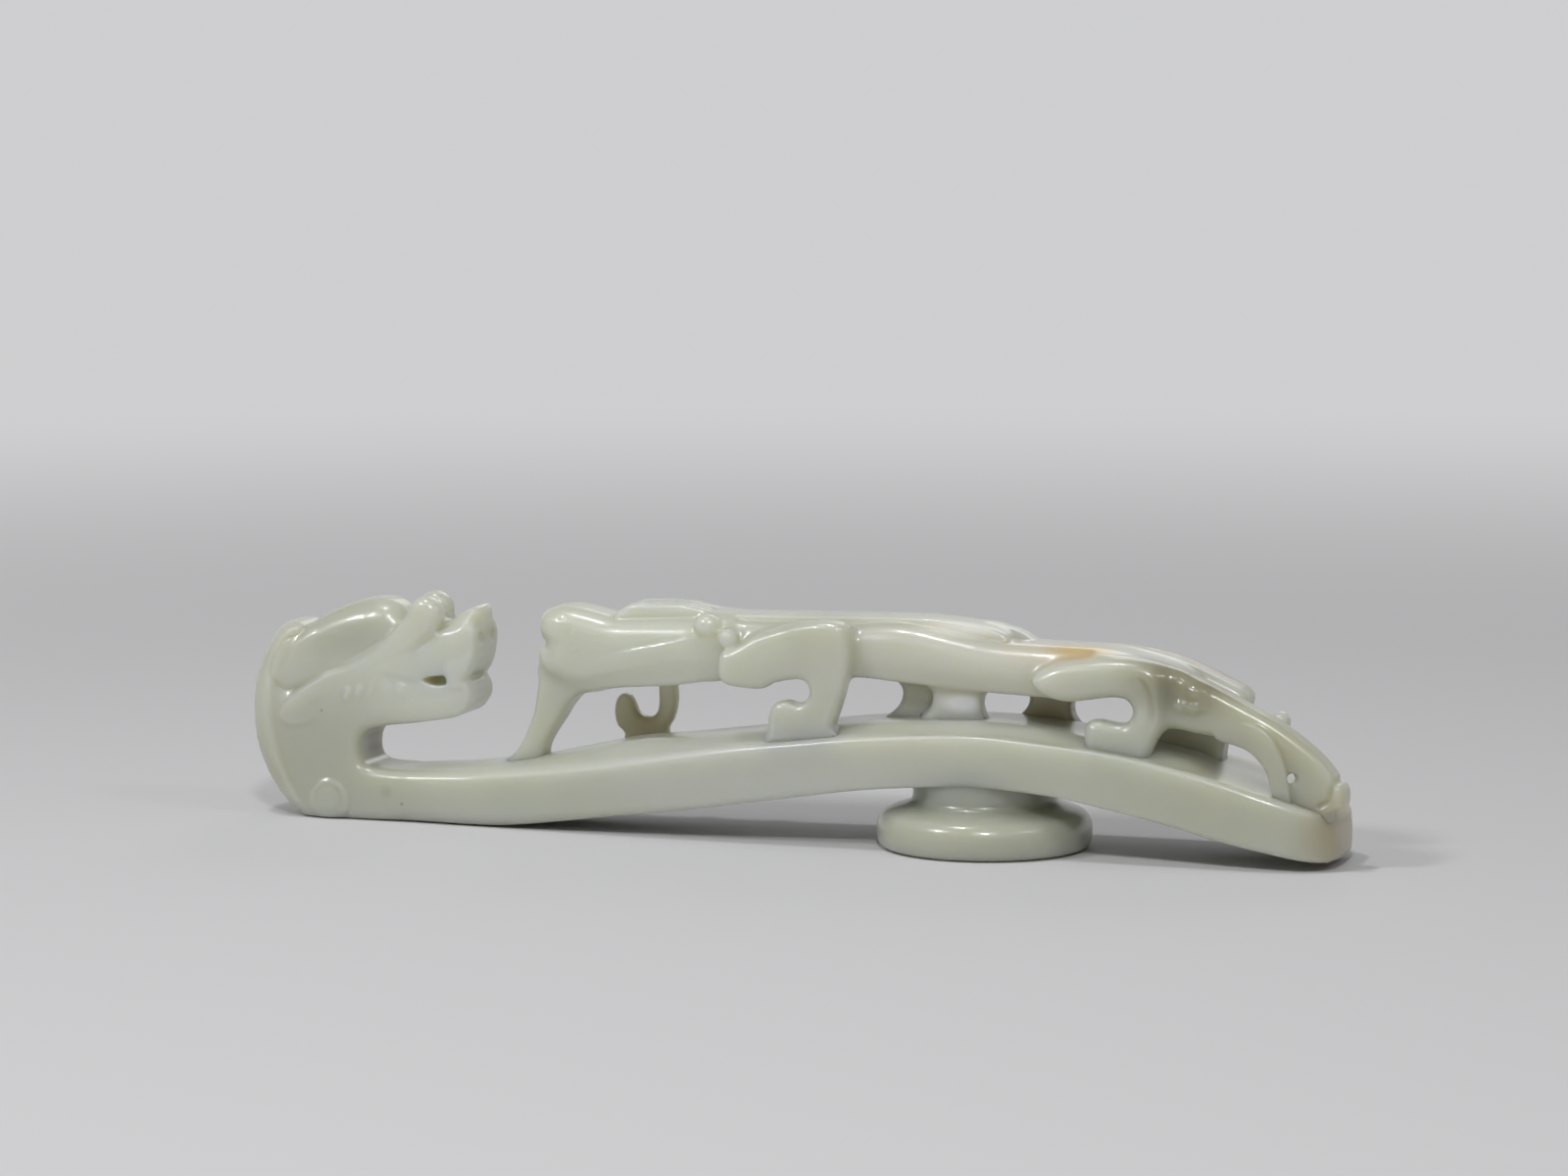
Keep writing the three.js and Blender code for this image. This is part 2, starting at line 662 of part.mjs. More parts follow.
function chilongHead() {
  const group = new THREE.Group();
  const [nape] = inChiHead([napeShare]);
  const anchor = new THREE.Vector3(nape.x, 0, nape.y);
  const add = (name, made) => group.add(element(name, made, jade, anchor));
  add('chilong_skull', cutBy(chiSkull(), chiNeck(clearance)));
  add('chilong_muzzle', cutBy(muzzle(), chiSkull(clearance)));
  add('chilong_jaw', cutBy(chiJaw(), chiSkull(clearance), muzzle(clearance), chiNeck(clearance)));
  add('chilong_beard', cutBy(beard(), chiJaw(clearance), muzzle(clearance), shaft(clearance)));
  sides.forEach(([word, side]) => {
    add(`chilong_brow_${word}`, cutBy(brow(side), chiSkull(clearance)));
    add(`chilong_ear_${word}`, cutBy(ear(side), chiSkull(clearance), chiNeck(clearance)));
    add(`chilong_eye_${word}`, cutBy(chiEye(side), muzzle(clearance), chiSkull(clearance)));
  });
  return group;
}

// Chilong's body and tail

function bodyPart(shares, from, to, grow) {
  return lofted(shares.map(([along, wide, tall, sunk], at) => {
    const x = from + along * (to - from) + endGrow(at, shares, grow);
    const middle = trunkBase - sunk * bodyHeight;
    return ovalRing(x, wide * bodyWidth / 2 + grow, middle, tall * bodyHeight / 2 + grow);
  }));
}

const chiNeck = (grow = 0) => bodyPart(chiNeckShares, -neckReach, -shoulderReach, grow);
const trunk = (grow = 0) => bodyPart(trunkShares, -shoulderReach + clearance, trunkReach, grow);
const haunch = (grow = 0) => bodyPart(haunchShares, trunkReach + clearance, haunchReach, grow);

const tailSide = (shares, side, grow = 0) =>
  carvedSide(inTail(shares), tailGap / 2, tailOuter, carvedEdge, side, grow);
const tailRight = (grow = 0) => tailSide(tailShares, -1, grow);
const tailLeft = (grow = 0) => tailSide(tailLeftShares, 1, grow);

function bud(side) {
  const [spot] = inTail([budShare]);
  const middle = side * (tailGap / 2 + tailOuter) / 2;
  return ball(new THREE.Vector3(spot.x, middle, spot.y), budRadius, budRadius, budRadius);
}

function hipCurl(side) {
  const [spot] = inHind([hipCurlShare]);
  const inner = tailOuter + clearance;
  return boss(spot, curlRadius, inner, inner + reliefHeight, side);
}

function pillar() {
  const cornerSteps = 2;
  const middle = -shoulderReach + pillarShare * (shoulderReach + trunkReach);
  const rings = pillarShares.map(([up, long, wide]) => {
    const level = archHeight + up * (trunkBase - archHeight);
    const halfLength = long * pillarLength / 2;
    const ring = boxRing(level, wide * pillarWidth / 2, -halfLength, halfLength, carvedEdge, cornerSteps);
    return ring.map((point) => new THREE.Vector3(middle + point.z, point.y, point.x));
  });
  return lofted(rings);
}

function chilongBody() {
  const group = new THREE.Group();
  const anchor = new THREE.Vector3(0, 0, trunkBase);
  const add = (name, made, paint = jade) => group.add(element(name, made, paint, anchor));
  add('chilong_neck', solid(chiNeck()));
  add('chilong_trunk', solid(trunk()));
  add('chilong_haunch', solid(haunch()), russet);
  add('belly_pillar', cutBy(pillar(), shaft(clearance), trunk(clearance)));
  add('tail_right', cutBy(tailRight(), haunch(clearance)));
  add('tail_left', cutBy(tailLeft(), haunch(clearance)), shade);
  add('tail_claw', cutBy(tailSide(tailClawShares, -1), tailRight(clearance), shaft(clearance)));
  const strut = tailSide(tailStrutShares, 1);
  add('tail_strut', cutBy(strut, tailLeft(clearance), haunch(clearance), shaft(clearance)), shade);
  add('tail_bud_left', cutBy(bud(1), tailLeft(clearance)), shade);
  sides.forEach(([word, side]) => add(`hip_curl_${word}`, cutBy(hipCurl(side), haunch(clearance))));
  return group;
}

// Chilong's legs

const limb = (places, side, grow = 0) =>
  carvedSide(places, legOuter - legThickness, legOuter, carvedEdge, side, grow);

function legs() {
  const group = new THREE.Group();
  const anchor = new THREE.Vector3(0, 0, crownHeight);
  const add = (name, made, paint = jade) => group.add(element(name, made, paint, anchor));
  const body = [chiNeck(clearance), trunk(clearance), haunch(clearance)];
  const foreArm = (grow = 0) => limb(inFore(foreArmShares), -1, grow);
  const thigh = (grow = 0) => limb(inHind(hindThighShares), -1, grow);
  const forePaw = limb(inFore(forePawShares), -1);
  const hindPaw = limb(inHind(hindPawShares), -1);
  const foreLeft = limb(inChinLeg(chinLegShares), 1);
  const hindLeft = limb(inHindLeft(hindLeftShares), 1);
  const tail = tailRight(clearance);
  const base = shaft(clearance);
  add('foreleg_right', cutBy(foreArm(), ...body, ear(-1, clearance)));
  add('forepaw_right', cutBy(forePaw, foreArm(clearance), ...body, base));
  add('foreleg_left', cutBy(foreLeft, chiJaw(clearance), chiSkull(clearance), base), shade);
  add('thigh_right', cutBy(thigh(), ...body, tail));
  add('hindpaw_right', cutBy(hindPaw, thigh(clearance), ...body, tail, base));
  add('hindleg_left', cutBy(hindLeft, ...body, base), shade);
  return group;
}

function beltHook() {
  const group = new THREE.Group();
  const ground = new THREE.Vector3(0, 0, 0);
  group.add(element('shaft', solid(shaft()), jade, ground));
  group.add(element('button_disc', solid(buttonDisc()), jade, ground));
  group.add(element('button_stem', buttonStem(), jade, new THREE.Vector3(0, 0, discHeight)));
  group.add(dragonHead(), chilongHead(), chilongBody(), legs());
  return group;
}

export default beltHook();
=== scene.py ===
"""Looks of the jade belt hook: one pale nephrite, carved as a hook with a dragon's head, a
chilong in openwork on top and a round button below. The hook and the chilong are carved on
grids of distances, in millimetres of the part's frame, and then meshed, and the button is
turned. X runs from the hook to the tail, -Y is the near side in the photograph, and Z is up
from the button's foot."""

import math

import bpy
import numpy as np
from mathutils import Matrix, Vector


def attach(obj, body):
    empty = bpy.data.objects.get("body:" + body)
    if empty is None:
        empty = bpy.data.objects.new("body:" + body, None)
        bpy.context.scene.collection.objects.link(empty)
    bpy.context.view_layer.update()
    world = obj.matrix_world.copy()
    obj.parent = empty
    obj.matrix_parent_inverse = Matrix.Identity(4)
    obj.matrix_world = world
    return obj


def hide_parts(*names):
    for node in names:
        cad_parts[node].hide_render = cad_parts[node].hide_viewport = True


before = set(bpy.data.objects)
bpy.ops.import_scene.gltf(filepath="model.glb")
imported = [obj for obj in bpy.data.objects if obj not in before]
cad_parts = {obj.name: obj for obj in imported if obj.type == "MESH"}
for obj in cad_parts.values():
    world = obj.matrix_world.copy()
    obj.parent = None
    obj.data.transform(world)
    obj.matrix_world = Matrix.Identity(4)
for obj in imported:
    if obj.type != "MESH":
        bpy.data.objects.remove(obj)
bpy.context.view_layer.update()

MM = 0.001

# A length past the sides of both carvings, and the room left round each shape
FAR = 9.0
SKIN = 0.6

# The depth over which a relief begins, and the sides that it is on
FACE_DEPTH = 0.5
BOTH = (-1, 1)
NEAR = (-1,)

# How far a scored line and a ledge are followed, in their own widths
SCORE_REACH = 2.5
LEDGE_REACH = 2.2

# A squared distance above all others, and the least number that is divided by
HUGE = 1e9
TINY = 1e-9

# Grid steps of the carvings, coarser while things are tried
COARSER = 1.0
FINE_STEP = 0.2 * COARSER
LONG_STEP = 0.6 * COARSER
CHILONG_STEP = 0.215 * COARSER
ACROSS_STEP = 0.22 * COARSER


# Lines and outlines in a plane

def arc(centre, radius, degrees):
    """Places on a circle at the given angles."""
    angles = [math.radians(at) for at in degrees]
    return [(centre[0] + radius * math.cos(a), centre[1] + radius * math.sin(a)) for a in angles]


def curved(points, closed=True, pieces=5):
    """A smooth line through given points; a point that is given twice stays a corner."""
    base = np.array(points, float)
    count = len(base)
    spans = count if closed else count - 1
    line = []
    for at in range(spans):
        if closed:
            before, start, end, after = (base[(at + step) % count] for step in (-1, 0, 1, 2))
        else:
            before, start, end, after = (
                base[min(max(at + step, 0), count - 1)] for step in (-1, 0, 1, 2))
        if np.allclose(start, end):
            continue
        for piece in range(pieces):
            t = piece / pieces
            line.append(0.5 * (
                2 * start + (end - before) * t
                + (2 * before - 5 * start + 4 * end - after) * t ** 2
                + (3 * start - before - 3 * end + after) * t ** 3))
    if not closed:
        line.append(base[-1])
    return np.array(line)


def line_distance(line, u, v, closed=False):
    """The distance from each place of a plane's grid to a line, the share of the line's length
    where it is nearest, and the side: 1 to the left of the line's way and -1 to its right."""
    best = np.full((len(u), len(v)), HUGE, np.float32)
    share = np.zeros_like(best)
    side = np.zeros_like(best)
    ends = np.roll(line, -1, axis=0) if closed else line[1:]
    starts = line if closed else line[:-1]
    lengths = np.linalg.norm(ends - starts, axis=1)
    whole = max(lengths.sum(), TINY)
    run = 0.0
    for start, end, length in zip(starts, ends, lengths):
        if length < TINY:
            continue
        way = (end - start) / length
        du = u[:, None] - start[0]
        dv = v[None, :] - start[1]
        along = np.clip(du * way[0] + dv * way[1], 0, length)
        apart = (du - along * way[0]) ** 2 + (dv - along * way[1]) ** 2
        nearer = apart < best
        best = np.where(nearer, apart, best)
        share = np.where(nearer, (run + along) / whole, share)
        side = np.where(nearer, np.sign(way[0] * dv - way[1] * du), side)
        run += length
    return np.sqrt(best), share, side


def outline_distance(line, u, v):
    """The signed distance to a closed outline: negative inside."""
    apart, _, _ = line_distance(line, u, v, closed=True)
    inside = np.zeros(apart.shape, bool)
    for start, end in zip(line, np.roll(line, -1, axis=0)):
        if start[1] == end[1]:
            continue
        spans = (start[1] > v) != (end[1] > v)
        reach = start[0] + (v - start[1]) * (end[0] - start[0]) / (end[1] - start[1])
        inside ^= spans[None, :] & (u[:, None] < reach[None, :])
    return np.where(inside, -apart, apart)


# Joining distances

def soft_min(a, b, soft):
    """Two shapes joined, with a soft fillet where they meet."""
    if soft <= 0:
        return np.minimum(a, b)
    mix = np.clip(0.5 + 0.5 * (b - a) / soft, 0, 1)
    return b + (a - b) * mix - soft * mix * (1 - mix)


def soft_max(a, b, soft):
    """What lies inside both shapes, with a soft edge where they meet."""
    return -soft_min(-a, -b, soft)


def rounded(a, b, edge):
    """What lies inside both shapes, with a round edge of a true radius."""
    a = a + edge
    b = b + edge
    return np.minimum(np.maximum(a, b), 0) + np.hypot(np.maximum(a, 0), np.maximum(b, 0)) - edge


def bump(distance, width):
    """1 on a line, and less and less away from it."""
    return np.exp(-(distance / width) ** 2)


def risen(height, share):
    """A height that is reached with a level start and end while a share goes from 0 to 1."""
    return height * share * share * (3 - 2 * share)


def faded(share, fade):
    """1 along a line and 0 at its ends, with a slope over the given share of its length."""
    if fade <= 0:
        return 1.0
    return np.clip(np.minimum(share, 1 - share) / fade, 0, 1)


# Shapes: each is its lowest corner, its highest corner, and its distance in the grid's room

def varied(value, x):
    """A size, or a list of places along X with the size at each."""
    if isinstance(value, list):
        return np.interp(x, [at for at, _ in value], [size for _, size in value])
    return value


def plate(outline, half, edge, middle=0.0, both=False):
    """A carved plate. Its outline lies in the XZ plane, half is its half width along Y, edge is
    the radius of its rims and middle is where it lies along Y, on one side or mirrored on both."""
    line = curved(outline)
    widest = (max(value for _, value in half) if isinstance(half, list) else half) + SKIN
    low = (line[:, 0].min() - SKIN, middle - widest, line[:, 1].min() - SKIN)
    high = (line[:, 0].max() + SKIN, middle + widest, line[:, 1].max() + SKIN)
    if both:
        low = (low[0], -middle - widest, low[2])

    def distance(x, y, z):
        profile = outline_distance(line, x.ravel(), z.ravel())[:, None, :]
        across = np.abs(y) if both else y
        return rounded(profile, np.abs(across - middle) - varied(half, x), varied(edge, x))

    return low, high, distance


def ball(centre, sizes, both=False):
    """An egg with a half size along each axis, on one side or mirrored on both."""
    centre, sizes = np.array(centre, float), np.array(sizes, float)
    low, high = centre - sizes - SKIN, centre + sizes + SKIN
    if both:
        low[1] = -high[1]

    def distance(x, y, z):
        across = np.abs(y) if both else y
        parts = (x - centre[0], across - centre[1], z - centre[2])
        near = np.sqrt(sum((part / size) ** 2 for part, size in zip(parts, sizes)))
        growth = np.sqrt(sum((part / size ** 2) ** 2 for part, size in zip(parts, sizes)))
        return near * (near - 1) / np.maximum(growth, TINY)

    return low, high, distance


def rod(points, radii):
    """A round bar along a line of places in space, with its radii spread evenly along it."""
    line = curved(points, closed=False, pieces=4)
    sizes = np.interp(np.linspace(0, 1, len(line)), np.linspace(0, 1, len(radii)), radii)
    reach = max(radii) + SKIN
    low, high = line.min(axis=0) - reach, line.max(axis=0) + reach

    def distance(x, y, z):
        best = HUGE
        for start, end, first, last in zip(line[:-1], line[1:], sizes[:-1], sizes[1:]):
            way = end - start
            parts = (x - start[0], y - start[1], z - start[2])
            along = sum(part * step for part, step in zip(parts, way)) / max(way @ way, TINY)
            along = np.clip(along, 0, 1)
            apart = np.sqrt(sum((part - along * step) ** 2 for part, step in zip(parts, way)))
            best = np.minimum(best, apart - first - along * (last - first))
        return best

    return low, high, distance


class Carving:
    """A stone on a grid of distances to its surface, in millimetres, negative inside."""

    def __init__(self, xs, ys, zs):
        self.axes = [np.asarray(axis, np.float32) for axis in (xs, ys, zs)]
        self.field = np.full([len(axis) for axis in self.axes], FAR, np.float32)

    def room(self, low, high):
        """The part of the grid between two corners, and its places along the three axes."""
        cuts = []
        for axis, first, last in zip(self.axes, low, high):
            start = max(int(np.searchsorted(axis, first)) - 1, 0)
            cuts.append(slice(start, int(np.searchsorted(axis, last)) + 1))
        x, y, z = (axis[cut] for axis, cut in zip(self.axes, cuts))
        return tuple(cuts), x[:, None, None], y[None, :, None], z[None, None, :]

    def add(self, shape, soft):
        """Joins a shape to the stone, with a fillet."""
        low, high, distance = shape
        cuts, x, y, z = self.room(low, high)
        self.field[cuts] = soft_min(self.field[cuts], distance(x, y, z), soft)

    def cut(self, shape, soft):
        """Cuts a shape out of the stone, with a soft edge."""
        low, high, distance = shape
        cuts, x, y, z = self.room(low, high)
        self.field[cuts] = soft_max(self.field[cuts], -distance(x, y, z), soft)

    def level(self, floor=0.03, soft=0.2):
        """Cuts off all that reaches below the surface that the part lies on."""
        self.field = soft_max(self.field, floor - self.axes[2][None, None, :], soft)

    def lift(self, line, reach, height, sides, inner):
        """Raises the side faces within a reach of a line. The height is worked out for each
        place of the XZ plane, and only what lies further out than inner along Y moves."""
        low = (line[:, 0].min() - reach, -FAR, line[:, 1].min() - reach)
        high = (line[:, 0].max() + reach, FAR, line[:, 1].max() + reach)
        cuts, x, y, z = self.room(low, high)
        chosen = sum(np.clip((y * way - inner) / FACE_DEPTH, 0, 1) for way in sides)
        self.field[cuts] -= height(x.ravel(), z.ravel())[:, None, :] * chosen

    def score(self, points, width, height, sides=BOTH, inner=1.5, fade=0.0):
        """A raised line on the side faces, or a groove where its height is below zero. It fades
        away towards its ends over the given share of its length."""
        line = curved(points, closed=False)

        def shape(x, z):
            apart, share, _ = line_distance(line, x, z)
            return height * bump(apart, width) * faded(share, fade)

        self.lift(line, SCORE_REACH * width, shape, sides, inner)

    def ledge(self, points, height, reach, edge=0.35, sides=BOTH, inner=1.5, fade=0.12):
        """A step along a line: the side faces stand proud on the left of its way, and the rise
        dies away over a reach."""
        line = curved(points, closed=False)

        def shape(x, z):
            apart, share, side = line_distance(line, x, z)
            rise = np.clip(0.5 + apart * side / edge, 0, 1)
            gone = bump(np.maximum(apart * side, 0), reach)
            return risen(height, rise) * gone * faded(share, fade)

        self.lift(line, LEDGE_REACH * reach + edge, shape, sides, inner)

    def bevel(self, points, slant, reach, sides=BOTH, inner=1.5, fade=0.05):
        """Slants the side faces inward on the left of a line's way, over a reach from it."""
        line = curved(points, closed=False)

        def shape(x, z):
            apart, share, side = line_distance(line, x, z)
            return -slant * np.clip(apart * side, 0, reach) * faded(share, fade)

        self.lift(line, reach + SKIN, shape, sides, inner)

    def step(self, outline, height, blend, sides=BOTH, inner=1.5):
        """Raises the side faces inside an outline."""
        line = curved(outline)

        def shape(x, z):
            return risen(height, np.clip(0.5 - outline_distance(line, x, z) / blend, 0, 1))

        self.lift(line, blend, shape, sides, inner)


# Meshing

# How often a mesh is evened out, how often its places then move back onto the surface, and the
# least squared slope that such a move counts on
EVENING_ROUNDS = 3
RETURNS = 2
LEAST_SLOPE = 0.05
CELL_CORNERS = [(dx, dy, dz) for dx in (0, 1) for dy in (0, 1) for dz in (0, 1)]


def sample(carving, places):
    """The distance at any places, between the grid's own."""
    spots = []
    for axis, place in zip(carving.axes, places.T):
        inside_last_cell = len(axis) - 1.001
        spots.append(np.clip(np.interp(place, axis, np.arange(len(axis))), 0, inside_last_cell))
    whole = [spot.astype(int) for spot in spots]
    share = [spot - at for spot, at in zip(spots, whole)]
    total = np.zeros(len(places))
    for corner in CELL_CORNERS:
        weight = np.ones(len(places))
        for part, take in zip(share, corner):
            weight *= part if take else 1 - part
        total += weight * carving.field[tuple(at + take for at, take in zip(whole, corner))]
    return total


def slope(carving, places, reach):
    """Which way the distance grows at any places, and how fast."""
    parts = []
    for axis in range(3):
        offset = np.zeros(3)
        offset[axis] = reach
        ahead = sample(carving, places + offset)
        parts.append((ahead - sample(carving, places - offset)) / (2 * reach))
    return np.stack(parts, 1)


def surface(carving):
    """The zero surface as quads: a place in each cell that the surface crosses, and a quad
    round each grid edge that it crosses."""
    field = carving.field
    cells = np.array(field.shape) - 1
    inside = field < 0
    cell_ids, places, quads = [], [], []
    for axis in range(3):
        near = [slice(None)] * 3
        far = [slice(None)] * 3
        near[axis], far[axis] = slice(0, -1), slice(1, None)
        near, far = tuple(near), tuple(far)
        edges = np.argwhere(inside[near] != inside[far])
        a = field[near][tuple(edges.T)]
        b = field[far][tuple(edges.T)]
        place = np.stack([carving.axes[k][edges[:, k]] for k in range(3)], 1).astype(float)
        step = carving.axes[axis][edges[:, axis] + 1] - carving.axes[axis][edges[:, axis]]
        place[:, axis] += a / (a - b) * step
        u, v = (axis + 1) % 3, (axis + 2) % 3
        inner = (edges[:, u] > 0) & (edges[:, v] > 0)
        inner &= (edges[:, u] < cells[u]) & (edges[:, v] < cells[v])
        edges, place, starts_inside = edges[inner], place[inner], (a < 0)[inner]
        corners = []
        for du, dv in ((1, 1), (0, 1), (0, 0), (1, 0)):
            cell = edges.copy()
            cell[:, u] -= du
            cell[:, v] -= dv
            number = np.ravel_multi_index(tuple(cell.T), tuple(cells))
            corners.append(number)
            cell_ids.append(number)
            places.append(place)
        quad = np.stack(corners, 1)
        quad[~starts_inside] = quad[~starts_inside][:, ::-1]
        quads.append(quad)
    cell_ids = np.concatenate(cell_ids)
    places = np.concatenate(places)
    used, back = np.unique(cell_ids, return_inverse=True)
    counts = np.bincount(back)
    vertices = np.stack([np.bincount(back, places[:, k]) / counts for k in range(3)], 1)
    faces = np.searchsorted(used, np.concatenate(quads))
    return vertices, faces


def settled(carving, vertices, faces, reach):
    """Evens out the places along the surface and puts them back on it."""
    for _ in range(EVENING_ROUNDS):
        total = np.zeros_like(vertices)
        count = np.zeros(len(vertices))
        for first, second in ((0, 1), (1, 2), (2, 3), (3, 0)):
            for here, there in ((first, second), (second, first)):
                for k in range(3):
                    total[:, k] += np.bincount(
                        faces[:, here], vertices[faces[:, there], k], len(vertices))
                count += np.bincount(faces[:, here], minlength=len(vertices))
        vertices = 0.5 * vertices + 0.5 * total / count[:, None]
        for _ in range(RETURNS):
            normal = slope(carving, vertices, reach)
            length = np.maximum((normal ** 2).sum(axis=1), LEAST_SLOPE)
            move = np.clip(sample(carving, vertices) / length, -reach, reach)
            vertices = vertices - move[:, None] * normal
    return vertices


def placed(name, vertices, faces):
    """A smooth mesh object in the scene, with its vertices in metres."""
    mesh = bpy.data.meshes.new(name)
    mesh.from_pydata(vertices, [], faces)
    mesh.validate()
    mesh.shade_smooth()
    made = bpy.data.objects.new(name, mesh)
    bpy.context.scene.collection.objects.link(made)
    return made


def stone(name, carving, reach):
    """A carving's mesh, settled with moves of a reach at most."""
    vertices, faces = surface(carving)
    vertices = settled(carving, vertices, faces, reach)
    return placed(name, (vertices * MM).tolist(), faces.tolist())


def steps(start, end, step):
    """Even places from start to end, no further apart than step."""
    return np.linspace(start, end, int(math.ceil((end - start) / step)) + 1)


# The hook: shaft, neck and dragon's head

# The grid's lowest and highest corner, and the place along X where its steps grow longer
HOOK_LOW = (-79, -8.6, -0.8)
HOOK_HIGH = (37.6, 8.6, 24)
HEAD_END = -51.6

SHAFT_SIDE = [
    (-72, 4.9), (-65, 5.2), (-60, 5.3), (-54, 5.6), (-50.5, 6.0), (-46.7, 6.4), (-39.8, 7.3),
    (-33.4, 8.3), (-25, 9.7), (-19, 10.45), (-10.8, 11.4), (-2.6, 11.9), (1.5, 11.95), (5.6, 11.7),
    (13.4, 11.0), (19.3, 10.1), (25.2, 8.8), (31, 7.1), (34.6, 5.9), (36.0, 5.3), (36.6, 4.6),
    (36.8, 3.2), (36.75, 1.5), (36.4, 0.8), (34.4, 0.95), (29.1, 2.0), (25.2, 2.85), (21.3, 3.9),
    (17.4, 4.8), (13.4, 5.6), (9.5, 6.3), (5.5, 6.7), (1.5, 6.9), (-2.5, 6.8), (-10.9, 6.0),
    (-19, 4.7), (-29.3, 3.0), (-37.7, 1.8), (-46.7, 0.5), (-52, 0.05), (-60, 0.0), (-72, 0.0),
]
SHAFT_HALF = [
    (-72, 3.2), (-67, 3.65), (-64, 3.9), (-60, 4.2), (-48, 5.1), (-38, 5.8), (-30, 6.3), (-20, 6.8),
    (-10, 7.15), (0, 7.4), (10, 7.6), (19, 7.75), (28, 7.6), (32.5, 7.1), (34.8, 6.1),
    (36.1, 4.6), (36.6, 2.8), (36.75, 0),
]
SHAFT_EDGE = [(-72, 1.0), (-60, 1.4), (-45, 1.3), (-30, 0.9), (-10, 0.6), (-2, 0.3), (16, 0.3),
              (21, 0.6), (30, 0.8), (36, 0.5)]
CROWN = [
    (-60, 5.4), (-53.6, 6.0), (-46.7, 7.0), (-41, 8.3), (-36.4, 9.3), (-30, 10.0), (-23.8, 10.8),
    (-15.5, 11.9), (-10, 12.5), (-4, 12.9), (1.2, 13.0), (6, 12.7), (12, 11.9), (18, 10.8),
    (22, 9.8), (22, 8.5), (12, 9.5), (0, 10.3), (-15, 9.5), (-30, 7.0), (-46, 5.0), (-60, 4.0),
]
CROWN_HALF = [(-60, 3.2), (-48, 4.2), (-38, 5.0), (-30, 5.5), (-10, 6.4), (20, 6.6)]

CREST_LINE = [
    (-60.1, 21.6), (-60.3, 20.8), (-60.9, 20.0), (-61.9, 19.0), (-63.2, 18.1), (-65.2, 16.8),
    (-66.7, 16.05), (-67.9, 15.65), (-69.7, 15.1), (-71.1, 14.5), (-72.4, 13.85),
]
HEAD_SIDE = [
    (-69.8, 0.0), (-71.8, 0.2), (-73.7, 1.2), (-75.3, 2.9), (-76.5, 4.9), (-77.3, 6.9),
    (-77.7, 9.3), (-77.65, 12.2), (-77.2, 14.9), (-76.25, 17.2), (-75.0, 18.95), (-74.0, 19.75),
    (-73.0, 20.0), (-72.1, 19.8), (-71.6, 19.2), (-72.2, 18.4), (-73.1, 17.4), (-73.7, 16.2),
    (-73.8, 15.1), (-73.2, 14.2), (-72.4, 13.85),
] + CREST_LINE[-2:0:-1] + [
    (-59.4, 21.2), (-57.7, 20.8), (-57.0, 19.8), (-55.5, 19.7), (-54.0, 20.0), (-53.1, 20.1),
    (-52.85, 19.6), (-52.75, 18.9), (-52.8, 17.8), (-53.0, 16.8), (-53.4, 15.8), (-54.0, 15.0),
    (-54.1, 14.7), (-53.6, 14.35), (-53.3, 13.6), (-53.35, 12.7), (-53.9, 11.7), (-54.8, 11.0),
    (-56.3, 10.65), (-59.5, 10.15), (-61.6, 9.85), (-63.0, 9.6), (-64.3, 9.25), (-65.1, 8.6),
    (-65.4, 7.7), (-65.4, 6.6), (-65.0, 5.8), (-63.8, 5.3), (-61.5, 5.0), (-60, 4.2), (-61, 0.4),
]
HEAD_HALF = [(-78, 3.4), (-74, 3.85), (-66, 4.0), (-61, 4.05), (-57, 3.75), (-53, 3.5)]
HEAD_EDGE = [(-78, 2.9), (-74, 2.9), (-72.6, 2.2), (-71, 1.2), (-62, 1.1), (-59, 0.6), (-53, 0.5)]
LOBE = [
    (-75.2, 14.6), (-74.9, 16.6), (-73.8, 18.2), (-72.2, 19.25), (-70.7, 20.1), (-69, 21.05),
    (-67.1, 21.9), (-65.5, 22.4), (-63.9, 22.65), (-62.6, 22.5), (-61.7, 22.1), (-61.0, 21.4),
    (-59.5, 19.6), (-59, 16), (-64, 13), (-70, 12.3), (-74.0, 13.0),
]
LOBE_HALF = [(-73, 3.7), (-69, 3.55), (-65, 3.45), (-60, 3.35)]
LOBE_EDGE = [(-75, 0.9), (-73, 1.3), (-70, 2.4), (-65, 3.1), (-61, 2.5)]
KNOB = [
    (-60.2, 20.9), (-59.9, 22.0), (-59.2, 22.8), (-58.2, 23.15), (-57.2, 22.85), (-56.5, 22.1),
    (-56.3, 21.2), (-56.5, 20.3), (-57.1, 19.5), (-58.0, 18.7), (-59.5, 17.6), (-61.5, 16.6),
    (-63.4, 16.3), (-64.0, 17.0), (-62.8, 18.2), (-61.7, 19.2), (-60.8, 20.1),
]

# The knob on each side of the head: how far it is moved along X, and its middle along Y
KNOB_PLACES = [(0, -2.75), (-0.9, 2.2)]
SNOUT_ROOF = [
    (-58.0, 19.5), (-56.8, 20.1), (-56.0, 20.6), (-54.8, 21.4), (-53.8, 21.95), (-53.2, 22.15),
    (-52.8, 21.7), (-52.75, 21.0), (-52.75, 20.2), (-52.9, 18.5), (-53.4, 17.0), (-57.0, 17.0),
]
MOUTH = [
    (-58.4, 14.75), (-57.4, 15.05), (-55.75, 15.2), (-55.75, 15.2), (-55.65, 14.3),
    (-55.65, 14.3), (-56.8, 14.1), (-57.9, 14.3),
]
FANG = [
    (-55.75, 16.4), (-55.7, 14.3), (-55.5, 13.95), (-54.9, 13.8), (-54.15, 14.0), (-53.7, 14.8),
    (-53.3, 15.9), (-53.2, 17.4), (-54.4, 17.0),
]
